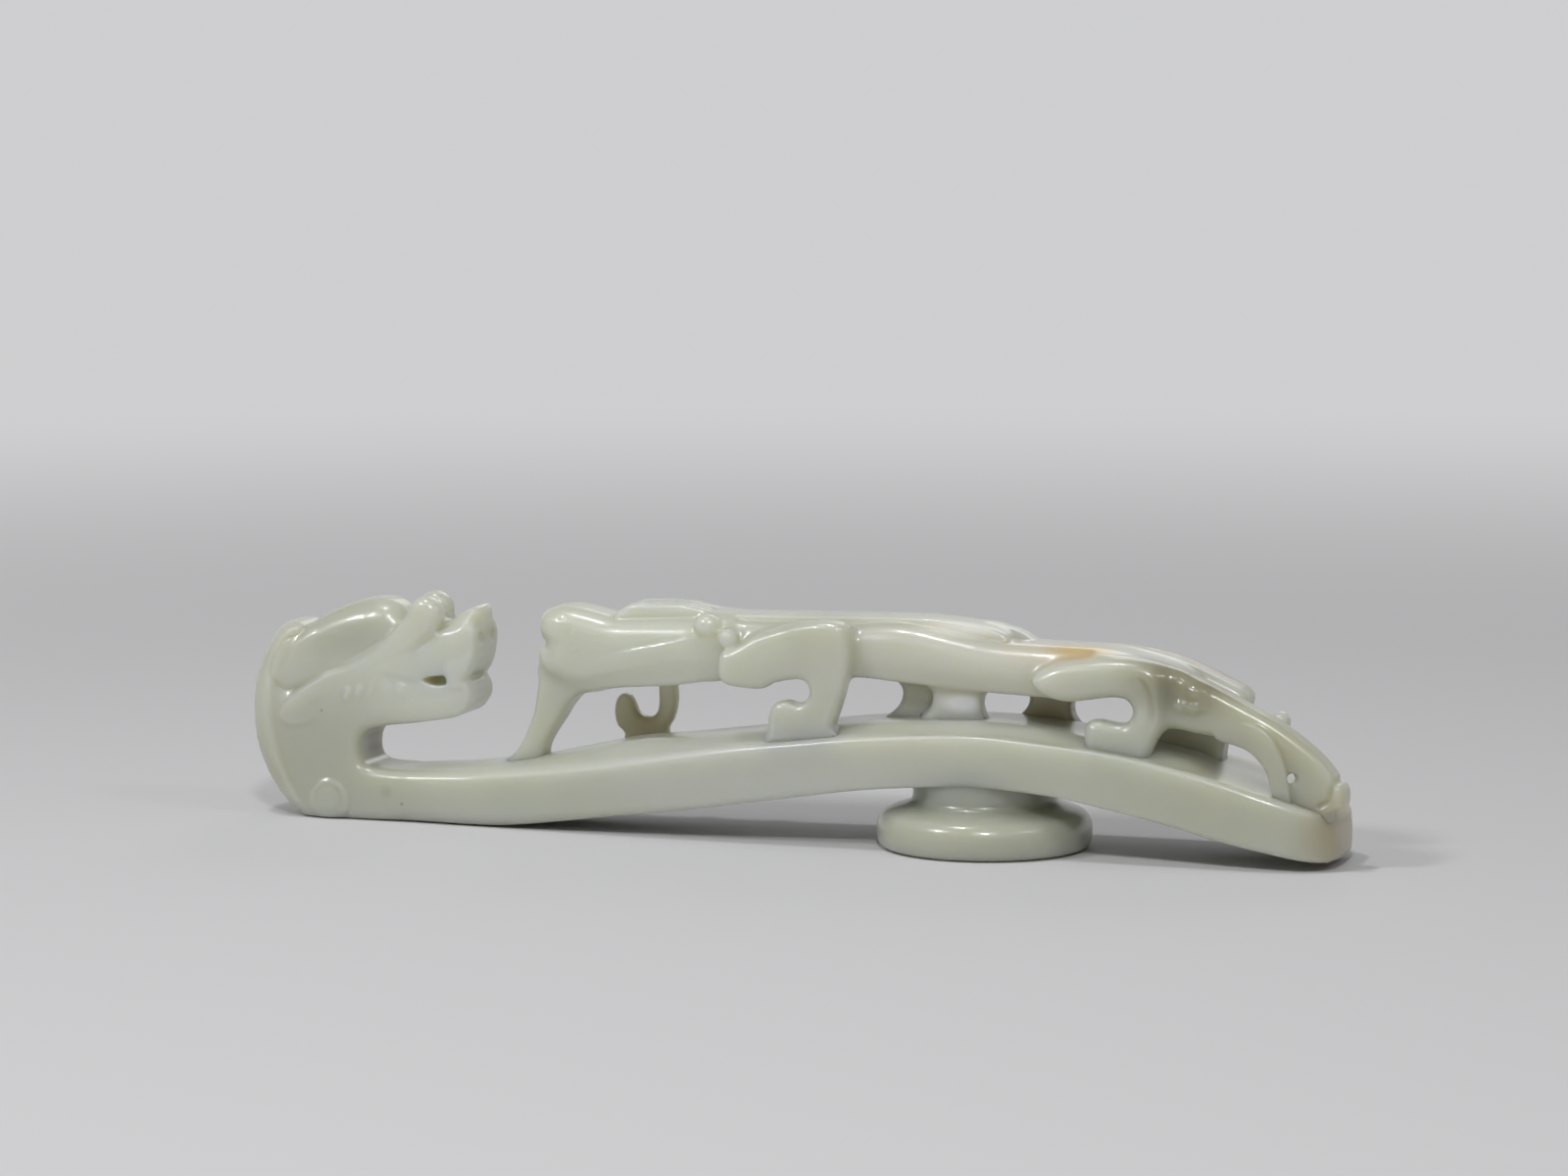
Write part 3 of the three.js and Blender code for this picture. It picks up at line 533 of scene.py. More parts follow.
LOCK_LINE = [
    (-68.6, 14.6), (-69.7, 14.15), (-70.8, 13.6), (-72.1, 12.8), (-73.1, 12.0), (-73.9, 11.1),
    (-74.0, 10.3), (-73.4, 9.7), (-72.3, 9.45), (-70.8, 9.9), (-69.4, 10.6),
]
LOCK_GROOVE = [(-69.2, 14.75), (-71.2, 13.85), (-72.9, 12.7)]
MANE_LINE = [
    (-70.7, 0.6), (-71.3, 1.2), (-72.0, 2.1), (-72.8, 3.4), (-73.3, 4.5), (-73.9, 6.0),
    (-74.7, 8.8), (-75.0, 11.6), (-74.8, 13.6), (-74.1, 15.6),
]
MANE_GROOVE = [
    (-70.4, 20.2), (-71.4, 19.1), (-72.7, 17.9), (-73.5, 16.7), (-74.1, 15.2), (-74.4, 13.6),
]

# The round boss at the neck's foot, with a groove that is open at its lower left
BOSS = (-68.6, 1.95)
BOSS_RIM = arc(BOSS, 2.05, [22.5 * at for at in range(16)])
BOSS_GROOVE = arc(BOSS, 1.4, range(215, -75, -24))

# Lines on the dragon's face
KNOB_GROOVE = [(-56.2, 20.6), (-56.5, 19.9), (-57.2, 19.1), (-58.4, 18.3), (-60.0, 17.2)]
SNOUT_RIDGE = [(-59.6, 15.7), (-58.2, 16.2), (-56.6, 16.75), (-55.4, 17.1), (-54.2, 17.7)]
MOUTH_CORNER = [(-58.2, 14.6), (-59.6, 14.4), (-61.2, 14.8), (-62.4, 15.4)]
JAW_LINE = [(-54.3, 13.4), (-57.3, 12.9), (-60.1, 12.4), (-62.7, 11.9)]
CHEEK_RIDGE = [(-60.8, 16.9), (-62.2, 16.1), (-63.2, 15.0), (-63.5, 13.8)]

# Short curls on the cheek: start, end and height
CHEEK_CURLS = [
    ((-66.8, 12.2), (-66.1, 13.8), 0.3), ((-65.5, 12.5), (-64.8, 14.0), 0.25),
    ((-64.1, 12.8), (-63.5, 14.4), 0.2), ((-62.5, 13.2), (-61.8, 14.7), 0.15),
    ((-61.1, 12.9), (-60.3, 14.4), 0.15),
]


def shaft_shape():
    """The arched bar: its side outline and its plan outline, with a round edge between."""
    side = curved(SHAFT_SIDE, pieces=4)
    plan = curved(SHAFT_HALF + [(x, -y) for x, y in reversed(SHAFT_HALF[:-1])], pieces=4)
    low = (side[:, 0].min() - SKIN, plan[:, 1].min() - SKIN, -SKIN)
    high = (side[:, 0].max() + SKIN, plan[:, 1].max() + SKIN, side[:, 1].max() + SKIN)

    def distance(x, y, z):
        profile = outline_distance(side, x.ravel(), z.ravel())[:, None, :]
        above = outline_distance(plan, x.ravel(), y.ravel())[:, :, None]
        return rounded(profile, above, varied(SHAFT_EDGE, x))

    return low, high, distance


def carve_hook():
    (left, near, bottom), (right, far, top) = HOOK_LOW, HOOK_HIGH
    head_xs, shaft_xs = steps(left, HEAD_END, FINE_STEP), steps(HEAD_END, right, LONG_STEP)
    xs = np.concatenate([head_xs, shaft_xs[1:]])
    hook = Carving(xs, steps(near, far, ACROSS_STEP), steps(bottom, top, FINE_STEP))
    hook.add(shaft_shape(), soft=0)
    hook.add(plate(CROWN, CROWN_HALF, edge=3.5), soft=1.2)
    hook.add(plate(HEAD_SIDE, HEAD_HALF, HEAD_EDGE), soft=0.5)
    hook.add(plate(LOBE, LOBE_HALF, LOBE_EDGE), soft=0.12)
    hook.add(plate(SNOUT_ROOF, half=3.45, edge=2.2), soft=1.0)
    for shift, middle in KNOB_PLACES:
        knob = [(x + shift, z) for x, z in KNOB]
        hook.add(plate(knob, half=1.35, edge=1.15, middle=middle), soft=0.45)
    hook.cut(plate(MOUTH, FAR, edge=0.1), soft=0.15)
    carve_nostrils(hook)
    carve_mane(hook)
    carve_face(hook)
    hook.level()
    return hook


def carve_nostrils(hook):
    hook.cut(ball((-52.0, 1.7, 19.0), (1.1, 1.0, 0.8), both=True), soft=0.3)


def carve_mane(hook):
    hook.ledge(MANE_LINE, height=0.35, reach=2.6, edge=0.6, fade=0.15)
    hook.step(BOSS_RIM, height=0.35, blend=0.8)
    hook.score(BOSS_GROOVE, width=0.3, height=-0.2, fade=0.2)
    hook.score(MANE_GROOVE, width=0.4, height=-0.18, inner=1.0, fade=0.3)
    hook.score(CREST_LINE[:8], width=0.25, height=0.16, fade=0.2)
    hook.ledge(LOCK_LINE, height=0.25, reach=1.8, edge=0.45, fade=0.25)
    hook.score(LOCK_GROOVE, width=0.3, height=-0.14, fade=0.3)


def carve_face(hook):
    hook.score(KNOB_GROOVE, width=0.45, height=-0.3, fade=0.35)
    hook.score(SNOUT_RIDGE, width=0.7, height=0.08, fade=0.4)
    hook.score(MOUTH_CORNER, width=0.4, height=-0.18, fade=0.35)
    hook.step(FANG, height=0.2, blend=0.6)
    hook.ledge(JAW_LINE, height=0.12, reach=1.4, edge=0.4, fade=0.25)
    hook.score(CHEEK_RIDGE, width=0.4, height=0.12, fade=0.4)
    for start, end, height in CHEEK_CURLS:
        hook.score([start, end], width=0.38, height=height, fade=0.3)


# The button

BUTTON_SIDE = [
    (9.8, 0), (10.4, 0.3), (10.65, 0.9), (10.72, 1.7), (10.68, 2.4), (10.4, 3.1), (9.9, 3.6),
    (9.1, 3.95), (8.2, 4.2), (7.6, 4.45), (7.25, 4.85), (7.15, 5.4), (7.15, 6.4), (7.15, 7.8),
]
AROUND = 160


def button():
    """The round button and its stem, turned about the Z axis, with a fan of faces at each end."""
    side = curved(BUTTON_SIDE, closed=False, pieces=6)
    angles = [2 * math.pi * at / AROUND for at in range(AROUND)]
    vertices = [(radius * math.cos(angle), radius * math.sin(angle), height)
                for radius, height in side for angle in angles]
    foot, top = len(vertices), len(vertices) + 1
    vertices += [(0, 0, side[0][1]), (0, 0, side[-1][1])]
    turns = [(at, (at + 1) % AROUND) for at in range(AROUND)]
    faces = []
    for ring in range(0, foot - AROUND, AROUND):
        faces += [(ring + a, ring + b, ring + b + AROUND, ring + a + AROUND) for a, b in turns]
    last = foot - AROUND
    faces += [(foot, b, a) for a, b in turns]
    faces += [(top, last + a, last + b) for a, b in turns]
    return placed("button_stone", [[MM * part for part in place] for place in vertices], faces)


# The chilong: head, beard, body, legs and tail

# The grid's lowest and highest corner
CHILONG_LOW = (-52.4, -7.2, 4.4)
CHILONG_HIGH = (39, 7.2, 24.2)

CHI_HEAD = [
    (-45.7, 18.7), (-46.1, 19.3), (-46.4, 20.4), (-46.1, 21.5), (-45.5, 22.15), (-44.2, 22.55),
    (-42.9, 22.6), (-41.3, 22.35), (-39.7, 22.0), (-38.1, 21.75), (-34, 21.9), (-29, 22.1),
    (-25.5, 22.1), (-25, 19), (-25.6, 16.2), (-27.5, 15.8), (-30.3, 15.3), (-32.4, 15.0),
    (-37.6, 14.6), (-39.2, 14.35), (-40.8, 14.0), (-43.5, 14.6), (-45.6, 15.6), (-46.0, 16.0),
    (-46.4, 16.6), (-46.6, 17.4), (-46.4, 18.2),
]
CHI_HALF = [(-47, 2.5), (-46, 3.1), (-44, 3.5), (-41, 3.6), (-37, 3.85), (-30, 4.15), (-26, 3.9)]
CHI_EDGE = [(-47, 1.6), (-44, 2.3), (-30, 2.5), (-25, 2.0)]
BEARD_HALF = [(-51, 2.0), (-47, 1.8), (-41, 2.3)]
BEARD = [
    (-46.5, 16.4), (-46.7, 14.6), (-46.95, 13.0), (-47.2, 11.6), (-47.75, 10.0), (-48.5, 8.4),
    (-49.4, 7.2), (-50.8, 6.2), (-51.6, 5.4), (-45.8, 5.8), (-46.2, 6.9), (-46.2, 7.7),
    (-45.8, 8.7), (-45.2, 9.7), (-44.4, 10.9), (-43.6, 12.2), (-42.7, 13.2), (-41.2, 14.1),
    (-39.5, 15.4), (-43, 17),
]
BROW = [
    (-38.2, 21.8), (-37.3, 22.6), (-36.4, 23.1), (-35.4, 23.25), (-31.5, 23.25), (-30.0, 23.05),
    (-27.4, 22.5), (-25.4, 21.9), (-28, 21), (-36, 20.8),
]
TRUNK = [
    (-29, 22.1), (-24, 22.0), (-18, 22.0), (-13, 22.1), (-8.5, 22.4), (-5.5, 22.1), (-2.2, 21.5),
    (2, 20.85), (6.4, 20.65), (10, 20.6), (13.4, 20.45), (16.5, 19.9), (20, 18.9), (22, 17.5),
    (21, 15.8), (18, 16.2), (15, 16.4), (12, 16.1), (10.1, 15.65), (4.6, 15.7), (-2, 16.1),
    (-8, 16.5), (-12.7, 16.8), (-18, 16.7), (-24.7, 16.2), (-29, 16.0),
]
TRUNK_HALF = [(-29, 3.8), (-24, 3.6), (-18, 4.0), (-10, 4.1), (-6, 4.2), (-3, 4.5), (0, 4.7),
              (3, 4.65), (6, 4.5), (9, 4.45), (14, 4.3), (20, 3.9)]
TRUNK_EDGE = [(-29, 1.6), (-12, 2.4), (8, 2.6), (20, 2.1)]
BACK = [
    (-28, 20.6), (-28, 22.4), (-25.7, 22.5), (-20.3, 22.6), (-14, 22.75), (-9, 22.85), (-5, 22.8),
    (-1.5, 22.5), (0.8, 22.15), (2.4, 21.6), (3.0, 21.0), (2.4, 20.4), (-10, 20.4),
]
UNDERSIDE = [
    (-43, 14.7), (-40.8, 14.1), (-37.6, 14.65), (-32.4, 15.05), (-27.5, 15.85), (-24.7, 16.25),
    (-18, 16.7), (-12.7, 16.8), (-8, 16.5), (-2, 16.1), (4.6, 15.75), (10, 15.7), (10, 17.6),
    (-2, 18.0), (-12, 18.6), (-24, 18.2), (-33, 17.2), (-40, 16.0), (-43, 15.6),
]
UNDERSIDE_HALF = [(-43, 2.4), (-37, 3.3), (-30, 3.7), (-24, 3.2), (-18, 3.6), (-6, 3.8), (4, 4.1),
                  (10, 4.1)]
FAR_BUMP = [
    (-2.4, 20.8), (-1.2, 21.9), (-0.1, 22.25), (1.2, 22.05), (2.6, 21.7), (3.8, 21.2),
    (4.7, 20.6), (4.9, 20.1), (3, 20.0),
]
FORELEG = [
    (-26.0, 18.0), (-26.0, 16.7), (-25.3, 15.85), (-23.5, 15.55), (-21.5, 15.55),
    (-20.3, 16.15), (-18.3, 16.6), (-17.2, 16.55), (-16.6, 15.9), (-16.6, 15.1), (-17.0, 14.5),
    (-18.0, 14.2), (-19.2, 14.45), (-20.2, 14.1), (-20.75, 13.1), (-20.8, 11.6), (-20.8, 10.0),
    (-13.7, 10.6), (-14.1, 12.2), (-13.7, 13.4), (-13.1, 15.3), (-12.6, 17.5), (-12.4, 19.5),
    (-12.6, 21.2), (-13.1, 22.2), (-14.0, 22.5), (-16.0, 22.5), (-19.0, 22.0), (-22.1, 20.9),
    (-23.8, 19.9), (-24.9, 19.3), (-25.7, 19.0),
]
ARM_HOLLOW = [(-24.8, 18.5), (-21.7, 19.9), (-19.6, 20.9), (-15.6, 22.1)]
THIGH_GROOVE = [
    (16.2, 18.55), (17.4, 18.1), (18.1, 17.2), (18.5, 15.9), (18.5, 14.4), (18.0, 13.0),
]

# The near legs lie on the trunk's near side: their half width, and their middle along Y
LEG_HALF = 1.5
LEG_MIDDLE = -4.7
THIGH = [
    (6.2, 17.4), (6.9, 18.3), (8.7, 19.15), (10.6, 19.5), (12.9, 19.8), (15.7, 19.95),
    (17.8, 19.65), (19.1, 18.9), (19.6, 17.8), (19.5, 16.0), (19.3, 13.6), (18.7, 12.0),
    (18.2, 10.4), (18.0, 8.8), (11.4, 10.0), (11.6, 11.6), (11.6, 12.9), (12.1, 13.75),
    (13.2, 13.95), (14.6, 13.7), (15.7, 13.75), (16.35, 14.4), (16.4, 15.2), (15.7, 16.0),
    (14.3, 16.15), (12, 15.8), (9.9, 15.55), (8.2, 15.8), (6.9, 16.5),
]
FAR_CURL = [
    (-33.75, 16.5), (-33.75, 14.3), (-33.7, 12.4), (-34.1, 10.7), (-34.7, 9.6), (-34.7, 7.6),
    (-39.6, 7.0), (-39.3, 8.9), (-40.1, 9.8), (-40.4, 11.1), (-40.2, 12.4), (-39.6, 13.05),
    (-38.8, 12.95), (-38.3, 12.2), (-37.9, 11.3), (-37.2, 10.85), (-36.4, 10.85), (-35.8, 11.4),
    (-35.6, 12.6), (-35.6, 16.5),
]
PILLAR = [
    (-4.9, 17.5), (-4.8, 15.0), (-5.3, 13.6), (-7.0, 12.2), (-8.0, 11.2), (2.0, 11.2),
    (1.2, 12.3), (0.55, 13.2), (0.15, 14.4), (0.1, 17.0),
]
PILLAR_WEB = [
    (-8.7, 17.5), (-8.6, 15.0), (-9.1, 13.6), (-10.6, 12.3), (-11.8, 11.0), (-2.0, 11.2),
    (-2.0, 17.0),
]
FAR_LEG = [
    (3.6, 17), (3.5, 14.2), (2.6, 12.8), (1.2, 11.2), (10.2, 10.6), (8.4, 12.2), (7.8, 13.8),
    (8.4, 17),
]
TAIL_NEAR = [
    (12, 19.9), (15.5, 20.0), (19.2, 19.4), (21.1, 18.9), (23.4, 17.9), (25.7, 16.8),
    (28.1, 15.6), (29.9, 14.7), (31.9, 13.45), (33.9, 12.0), (35.3, 10.7), (36.3, 9.5),
    (36.8, 8.8), (37.3, 8.3), (37.5, 7.7), (37.5, 6.6), (37.1, 6.05), (36.2, 5.6), (36, 4.6),
    (32.6, 5.0), (31.3, 5.8), (31.0, 7.6), (31.2, 9.2), (30.9, 10.4), (29.8, 11.5),
    (28.0, 12.2), (25.6, 12.5), (22.8, 12.8), (20.9, 13.15), (19.6, 13.1), (18.6, 12.4),
    (17.6, 11.4), (17.0, 12), (16.6, 16.4),
]
TAIL_EDGE = [(12, 1.5), (28, 1.1), (34, 0.9), (38, 0.7)]
TAIL_GROOVE = [(36.9, 9.1), (36.2, 8.0), (36.0, 7.0), (35.0, 6.4)]
CLAW = [
    (24.6, 12.6), (26.4, 12.0), (27.8, 11.55), (28.9, 10.75), (29.8, 9.6), (30.2, 8.5),
    (30.5, 7.2), (30.6, 5.8), (32.3, 5.6), (32.3, 7.2), (32.0, 9.2), (31.3, 11.3),
    (30.4, 12.9), (29.4, 13.8), (28.2, 14.2), (26.8, 14.4), (25.4, 14.7), (24.2, 14.7),
]
CLAW_HALF = [(24, 0.1), (27, 0.35), (29, 0.7), (30.5, 0.9)]
CLAW_EDGE = [(24, 0.1), (27, 0.3), (31, 0.25)]
CLAW_HOLE = [(33.0, -7.0, 9.2), (32.5, -5.4, 9.0), (30.8, -0.2, 8.35)]
TAIL_FAR = [
    (8, 19.8), (11.4, 20.1), (13.8, 20.2), (15.7, 20.0), (19.1, 19.25), (21.4, 18.45),
    (23.8, 17.4), (25.7, 16.5), (26.3, 15.7), (26.1, 14.7), (24.6, 14.5), (22, 15.2),
    (18, 16.2), (14, 16.6), (10, 17),
]
FAR_RIDGE = [(12, 3.3, 19.9), (16.8, 3.4, 19.2), (19.6, 3.4, 18.5), (22.7, 3.4, 17.2),
             (25.3, 3.4, 15.9)]
FAR_BUD = [(25.4, 3.6, 14.2), (27.7, 3.8, 13.1), (29.1, 4.0, 13.2)]
FAR_STRUT = [
    (16.4, 15), (16.6, 11.5), (16.2, 8.2), (23.8, 6.8), (23.6, 9.6), (24.2, 13.6), (22, 16),
]
CHI_JAW_LINE = [
    (-26.0, 18.4), (-27.6, 18.1), (-30.3, 17.9), (-33.0, 17.5), (-36.7, 16.7), (-40.3, 15.9),
    (-43.0, 15.6),
]
CHI_CHEEK_LINE = [
    (-27.8, 20.5), (-29.4, 20.2), (-31.1, 19.7), (-33.0, 19.3), (-36.7, 18.5), (-40.4, 17.8),
]
HIP_CURL = [
    (20.7, 16.0), (20.9, 17.2), (21.4, 18.1), (22.6, 18.1), (23.5, 17.5), (23.9, 16.5),
    (23.9, 15.4), (22.8, 15.0), (21.4, 15.0), (20.7, 15.2),
]
HIP_BEADS = [(22.7, -5.2, 17.0), (22.6, -5.2, 15.6), (21.3, -5.2, 15.7)]
EARS = [(-27.8, -3.7, 21.4), (-27.8, 3.7, 20.7)]
SHOULDER = (-25.5, -4.4, 20.3)

# Small dents of the eyes and nostrils, on both sides: centre and radius
FACE_DENTS = [
    ((-43.5, 3.5, 21.75), 0.5), ((-41.4, 3.45, 22.0), 0.5), ((-40.3, 3.6, 21.75), 0.4),
    ((-42.5, 3.75, 20.3), 0.4), ((-41.7, 3.8, 18.2), 0.35),
]


def carve_chilong():
    beast = Carving(*(steps(*ends, CHILONG_STEP) for ends in zip(CHILONG_LOW, CHILONG_HIGH)))
    add_body(beast)
    add_far_side(beast)
    add_tail(beast)
    beast.add(plate(FORELEG, LEG_HALF, edge=0.9, middle=LEG_MIDDLE), soft=0.9)
    beast.add(plate(THIGH, LEG_HALF, edge=1.25, middle=LEG_MIDDLE), soft=0.9)
    carve_chilong_head(beast)
    carve_legs(beast)
    carve_tail(beast)
    return beast


def add_body(beast):
    beast.add(plate(TRUNK, TRUNK_HALF, TRUNK_EDGE), soft=0)
    beast.add(plate(BACK, half=2.3, edge=0.4), soft=0.15)
    beast.add(plate(CHI_HEAD, CHI_HALF, CHI_EDGE), soft=0.6)
    beast.bevel(CHI_JAW_LINE, slant=0.2, reach=3.0)
    beast.add(plate(UNDERSIDE, UNDERSIDE_HALF, edge=0.6), soft=0.6)
    beast.add(plate(BEARD, BEARD_HALF, edge=0.8), soft=0.8)
    beast.add(plate(BROW, half=1.15, edge=0.55, middle=1.35, both=True), soft=0.25)


def add_far_side(beast):
    """What shows through the openwork from the near side, and the pillar that carries the body."""
    beast.add(plate(FAR_BUMP, half=1.9, edge=1.0, middle=1.9), soft=0.4)
    beast.add(plate(FAR_CURL, half=0.95, edge=0.7, middle=4.5), soft=0.3)
    beast.add(plate(PILLAR, half=1.5, edge=1.0, middle=-1.3), soft=0.9)
    beast.add(plate(PILLAR_WEB, half=1.5, edge=0.7, middle=1.2), soft=1.2)
    beast.add(plate(FAR_LEG, half=1.4, edge=0.7, middle=4.6), soft=0.5)


def add_tail(beast):
    beast.add(plate(TAIL_NEAR, half=1.8, edge=TAIL_EDGE, middle=-3.4), soft=0.5)
    beast.add(plate(CLAW, CLAW_HALF, CLAW_EDGE, middle=-4.95), soft=0.12)
    beast.cut(rod(CLAW_HOLE, [0.52, 0.52]), soft=0.15)
    beast.add(plate(TAIL_FAR, half=2.2, edge=0.8, middle=3.1), soft=0.4)
    beast.add(rod(FAR_RIDGE, [0.5, 0.7, 0.7, 0.65, 0.5]), soft=0.35)
    beast.add(plate(FAR_STRUT, half=1.6, edge=0.7, middle=3.5), soft=0.4)
    beast.add(rod(FAR_BUD, [1.0, 0.8, 1.0]), soft=0.3)


def carve_chilong_head(beast):
    beast.ledge(CHI_CHEEK_LINE, height=0.22, reach=1.4, edge=0.35, fade=0.4)
    for centre, radius in FACE_DENTS:
        beast.cut(ball(centre, (radius, radius, radius), both=True), soft=0.1)
    for centre in EARS:
        beast.add(ball(centre, (1.3, 1.0, 1.15)), soft=0.25)


def carve_legs(beast):
    beast.add(ball(SHOULDER, (0.9, 0.8, 0.9)), soft=0.9)
    beast.score(ARM_HOLLOW, width=1.2, height=-0.45, sides=NEAR, inner=4.4, fade=0.35)
    beast.score(THIGH_GROOVE, width=0.28, height=-0.3, sides=NEAR, inner=4.4, fade=0.25)


def carve_tail(beast):
    beast.step(HIP_CURL, height=0.25, blend=0.9, sides=NEAR, inner=4.2)
    for centre in HIP_BEADS:
        beast.add(ball(centre, (0.75, 0.55, 0.6)), soft=0.3)
    beast.score(TAIL_GROOVE, width=0.25, height=-0.4, sides=NEAR)


# Materials

PALE_JADE = (0.545, 0.56, 0.48)
CLOUDED_JADE = (0.475, 0.495, 0.41)
MILKY_JADE = (0.65, 0.66, 0.60)
SPECK = (0.12, 0.10, 0.07)
PIT = (0.05, 0.05, 0.04)

# Marks in the stone, and painted light and shade: centre, size along each axis, colour and strength
MARKS_AND_PAINTED_LIGHT = [
    # Paler, milkier heads and trunk; the paler tone also paints the light from above on these upper
    # parts
    ((-58.5, -1.0, 15.5), (12.0, 10.0, 8.5), (0.67, 0.69, 0.62), 0.8),
    ((-34.0, -1.0, 18.5), (24.0, 9.0, 8.0), (0.66, 0.68, 0.60), 0.75),
    ((-4.0, -3.0, 18.0), (24.0, 8.0, 6.5), (0.62, 0.62, 0.55), 0.75),
    # Darker end of the shaft and tail, and painted shade on the button and its stem, which lie
    # under the shaft
    ((26.0, 0.0, 5.0), (22.0, 14.0, 9.0), (0.46, 0.47, 0.37), 0.6),
    ((30.0, -3.0, 12.0), (13.0, 6.0, 9.0), (0.40, 0.40, 0.29), 0.7),
    ((0.0, 0.0, 2.5), (16.0, 16.0, 8.0), (0.35, 0.36, 0.27), 0.85),
    # Warm brown at both ends: painted light that has passed through the stone's edges there
    ((37.5, 0.0, 3.5), (8.0, 12.0, 7.0), (0.40, 0.31, 0.15), 0.7),
    ((-76.5, 0.0, 2.5), (5.0, 8.0, 5.0), (0.50, 0.42, 0.27), 0.45),
    # Painted shade on the dragon's head: on the lobe, which faces up to the lamps, and in the
    # throat
    ((-67.5, -3.0, 20.0), (9.0, 5.0, 4.5), (0.43, 0.45, 0.38), 0.7),
    ((-64.5, 1.0, 7.4), (3.5, 4.6, 3.0), (0.30, 0.30, 0.21), 0.8),
    # Russet spot on the haunch
    ((8.0, -3.0, 20.2), (9.0, 4.0, 2.2), (0.64, 0.58, 0.47), 0.7),
    ((10.6, -3.0, 20.4), (5.0, 3.4, 1.6), (0.62, 0.46, 0.20), 0.8),
    # White sliver on the back, and the white top of the pillar
    ((-1.5, -3.0, 22.0), (6.5, 2.2, 1.2), (0.84, 0.82, 0.75), 0.9),
    ((-1.5, -2.8, 14.6), (3.0, 2.0, 1.3), (0.90, 0.88, 0.84), 0.9),
    # Brownish painted shade on the limbs and tail of the far side, which lie behind the near ones
    ((19.0, 4.2, 18.0), (12.0, 3.6, 5.0), (0.28, 0.23, 0.19), 0.9),
    ((-37.0, 4.6, 10.5), (6.0, 2.4, 7.0), (0.28, 0.25, 0.17), 0.9),
    ((6.0, 4.6, 12.5), (7.0, 3.4, 4.5), (0.31, 0.27, 0.19), 0.85),
    ((20.0, 4.0, 11.0), (7.0, 3.4, 6.0), (0.31, 0.30, 0.22), 0.85),
    # Specks and pits
    ((-62.2, -4.0, 3.1), (0.9, 1.0, 0.9), (0.26, 0.27, 0.24), 0.45),
    ((-60.5, -4.2, 1.9), (0.25, 0.5, 0.25), SPECK, 0.7),
    ((-69.3, -4.0, 11.1), (0.22, 0.5, 0.22), SPECK, 0.6),
    ((-35.9, -6.0, 7.75), (0.45, 0.6, 0.2), PIT, 0.9),
    ((-35.4, -6.0, 7.9), (0.45, 0.6, 0.2), PIT, 0.9),
    ((-6.4, -1.0, 13.0), (0.3, 0.8, 0.4), SPECK, 0.7),
    # Greyer hip with painted shade on its upward face, a cooler shaft, and painted shade low on the
    # neck
    ((21.5, -4.0, 18.2), (9.0, 6.0, 5.5), (0.24, 0.23, 0.15), 0.9),
    ((-25.0, -6.0, 7.0), (32.0, 5.0, 7.0), (0.53, 0.545, 0.52), 0.6),
    ((-69.0, -3.0, 5.0), (16.0, 6.0, 9.0), (0.44, 0.45, 0.36), 0.6),
]

# A mark is at full strength within this share of its size, and is gone at the whole of it
MARK_CORE_SHARE = 0.25

# Where the shaft's near top edge has lost its polish: centre and size along each axis
DULL_PATCH = ((-40.0, -6.0, 7.0), (34.0, 5.0, 6.5))

# The polish, and what the dull patch makes of it
ROUGHNESS = (0.28, 0.34)
DULL_ROUGHNESS = 0.2
COAT = 0.32
DULL_COAT = 0.04
JADE_SURFACE = {
    "Coat Roughness": 0.09,
    "IOR": 1.6,
    "Subsurface Weight": 1.0,
    "Subsurface Radius": (1.0, 0.92, 0.62),
    "Subsurface Scale": 0.008,
    "Transmission Weight": 0.12,
}


def noise(tree, place, scale, detail, distortion=0.0):
    """A cloudy pattern from 0 to 1, with the scale in patches to a metre."""
    made = tree.nodes.new("ShaderNodeTexNoise")
    made.inputs["Scale"].default_value = scale
    made.inputs["Detail"].default_value = detail
    made.inputs["Distortion"].default_value = distortion
    tree.links.new(place, made.inputs["Vector"])
    return made.outputs["Fac"]


def between(tree, value, span, ends):
    """A value that moves smoothly from one end to the other while the input crosses a span."""
    made = tree.nodes.new("ShaderNodeMapRange")
    made.interpolation_type = "SMOOTHSTEP"
    for name, number in zip(("From Min", "From Max", "To Min", "To Max"), (*span, *ends)):
        made.inputs[name].default_value = number
    tree.links.new(value, made.inputs["Value"])
    return made.outputs["Result"]


def joined(tree, way, first, second):
    """Two values reckoned together, such as their sum or the larger one."""
    made = tree.nodes.new("ShaderNodeMath")
    made.operation = way
    tree.links.new(first, made.inputs[0])
    tree.links.new(second, made.inputs[1])
    return made.outputs["Value"]


def blended(tree, share, first, colour):
    """The first colour, a socket, turned towards a colour by a share."""
    made = tree.nodes.new("ShaderNodeMix")
    made.data_type = "RGBA"
    tree.links.new(share, made.inputs["Factor"])
    tree.links.new(first, made.inputs["A"])
    made.inputs["B"].default_value = (*colour, 1)
    return made.outputs["Result"]


def egg(tree, place, centre, size, strength):
    """A share that falls from a strength to 0 in a soft egg shape round a place in the stone."""
    made = tree.nodes.new("ShaderNodeMapping")
    made.inputs["Scale"].default_value = [1 / (MM * part) for part in size]
    made.inputs["Location"].default_value = [-at / part for at, part in zip(centre, size)]
    tree.links.new(place, made.inputs["Vector"])
    far = from_origin(tree, made.outputs["Vector"])
    return between(tree, far, (MARK_CORE_SHARE, 1.0), (strength, 0.0))


def from_origin(tree, vector):
    """How far a place is from the origin."""
    made = tree.nodes.new("ShaderNodeVectorMath")
    made.operation = "LENGTH"
    tree.links.new(vector, made.inputs[0])
    return made.outputs["Value"]


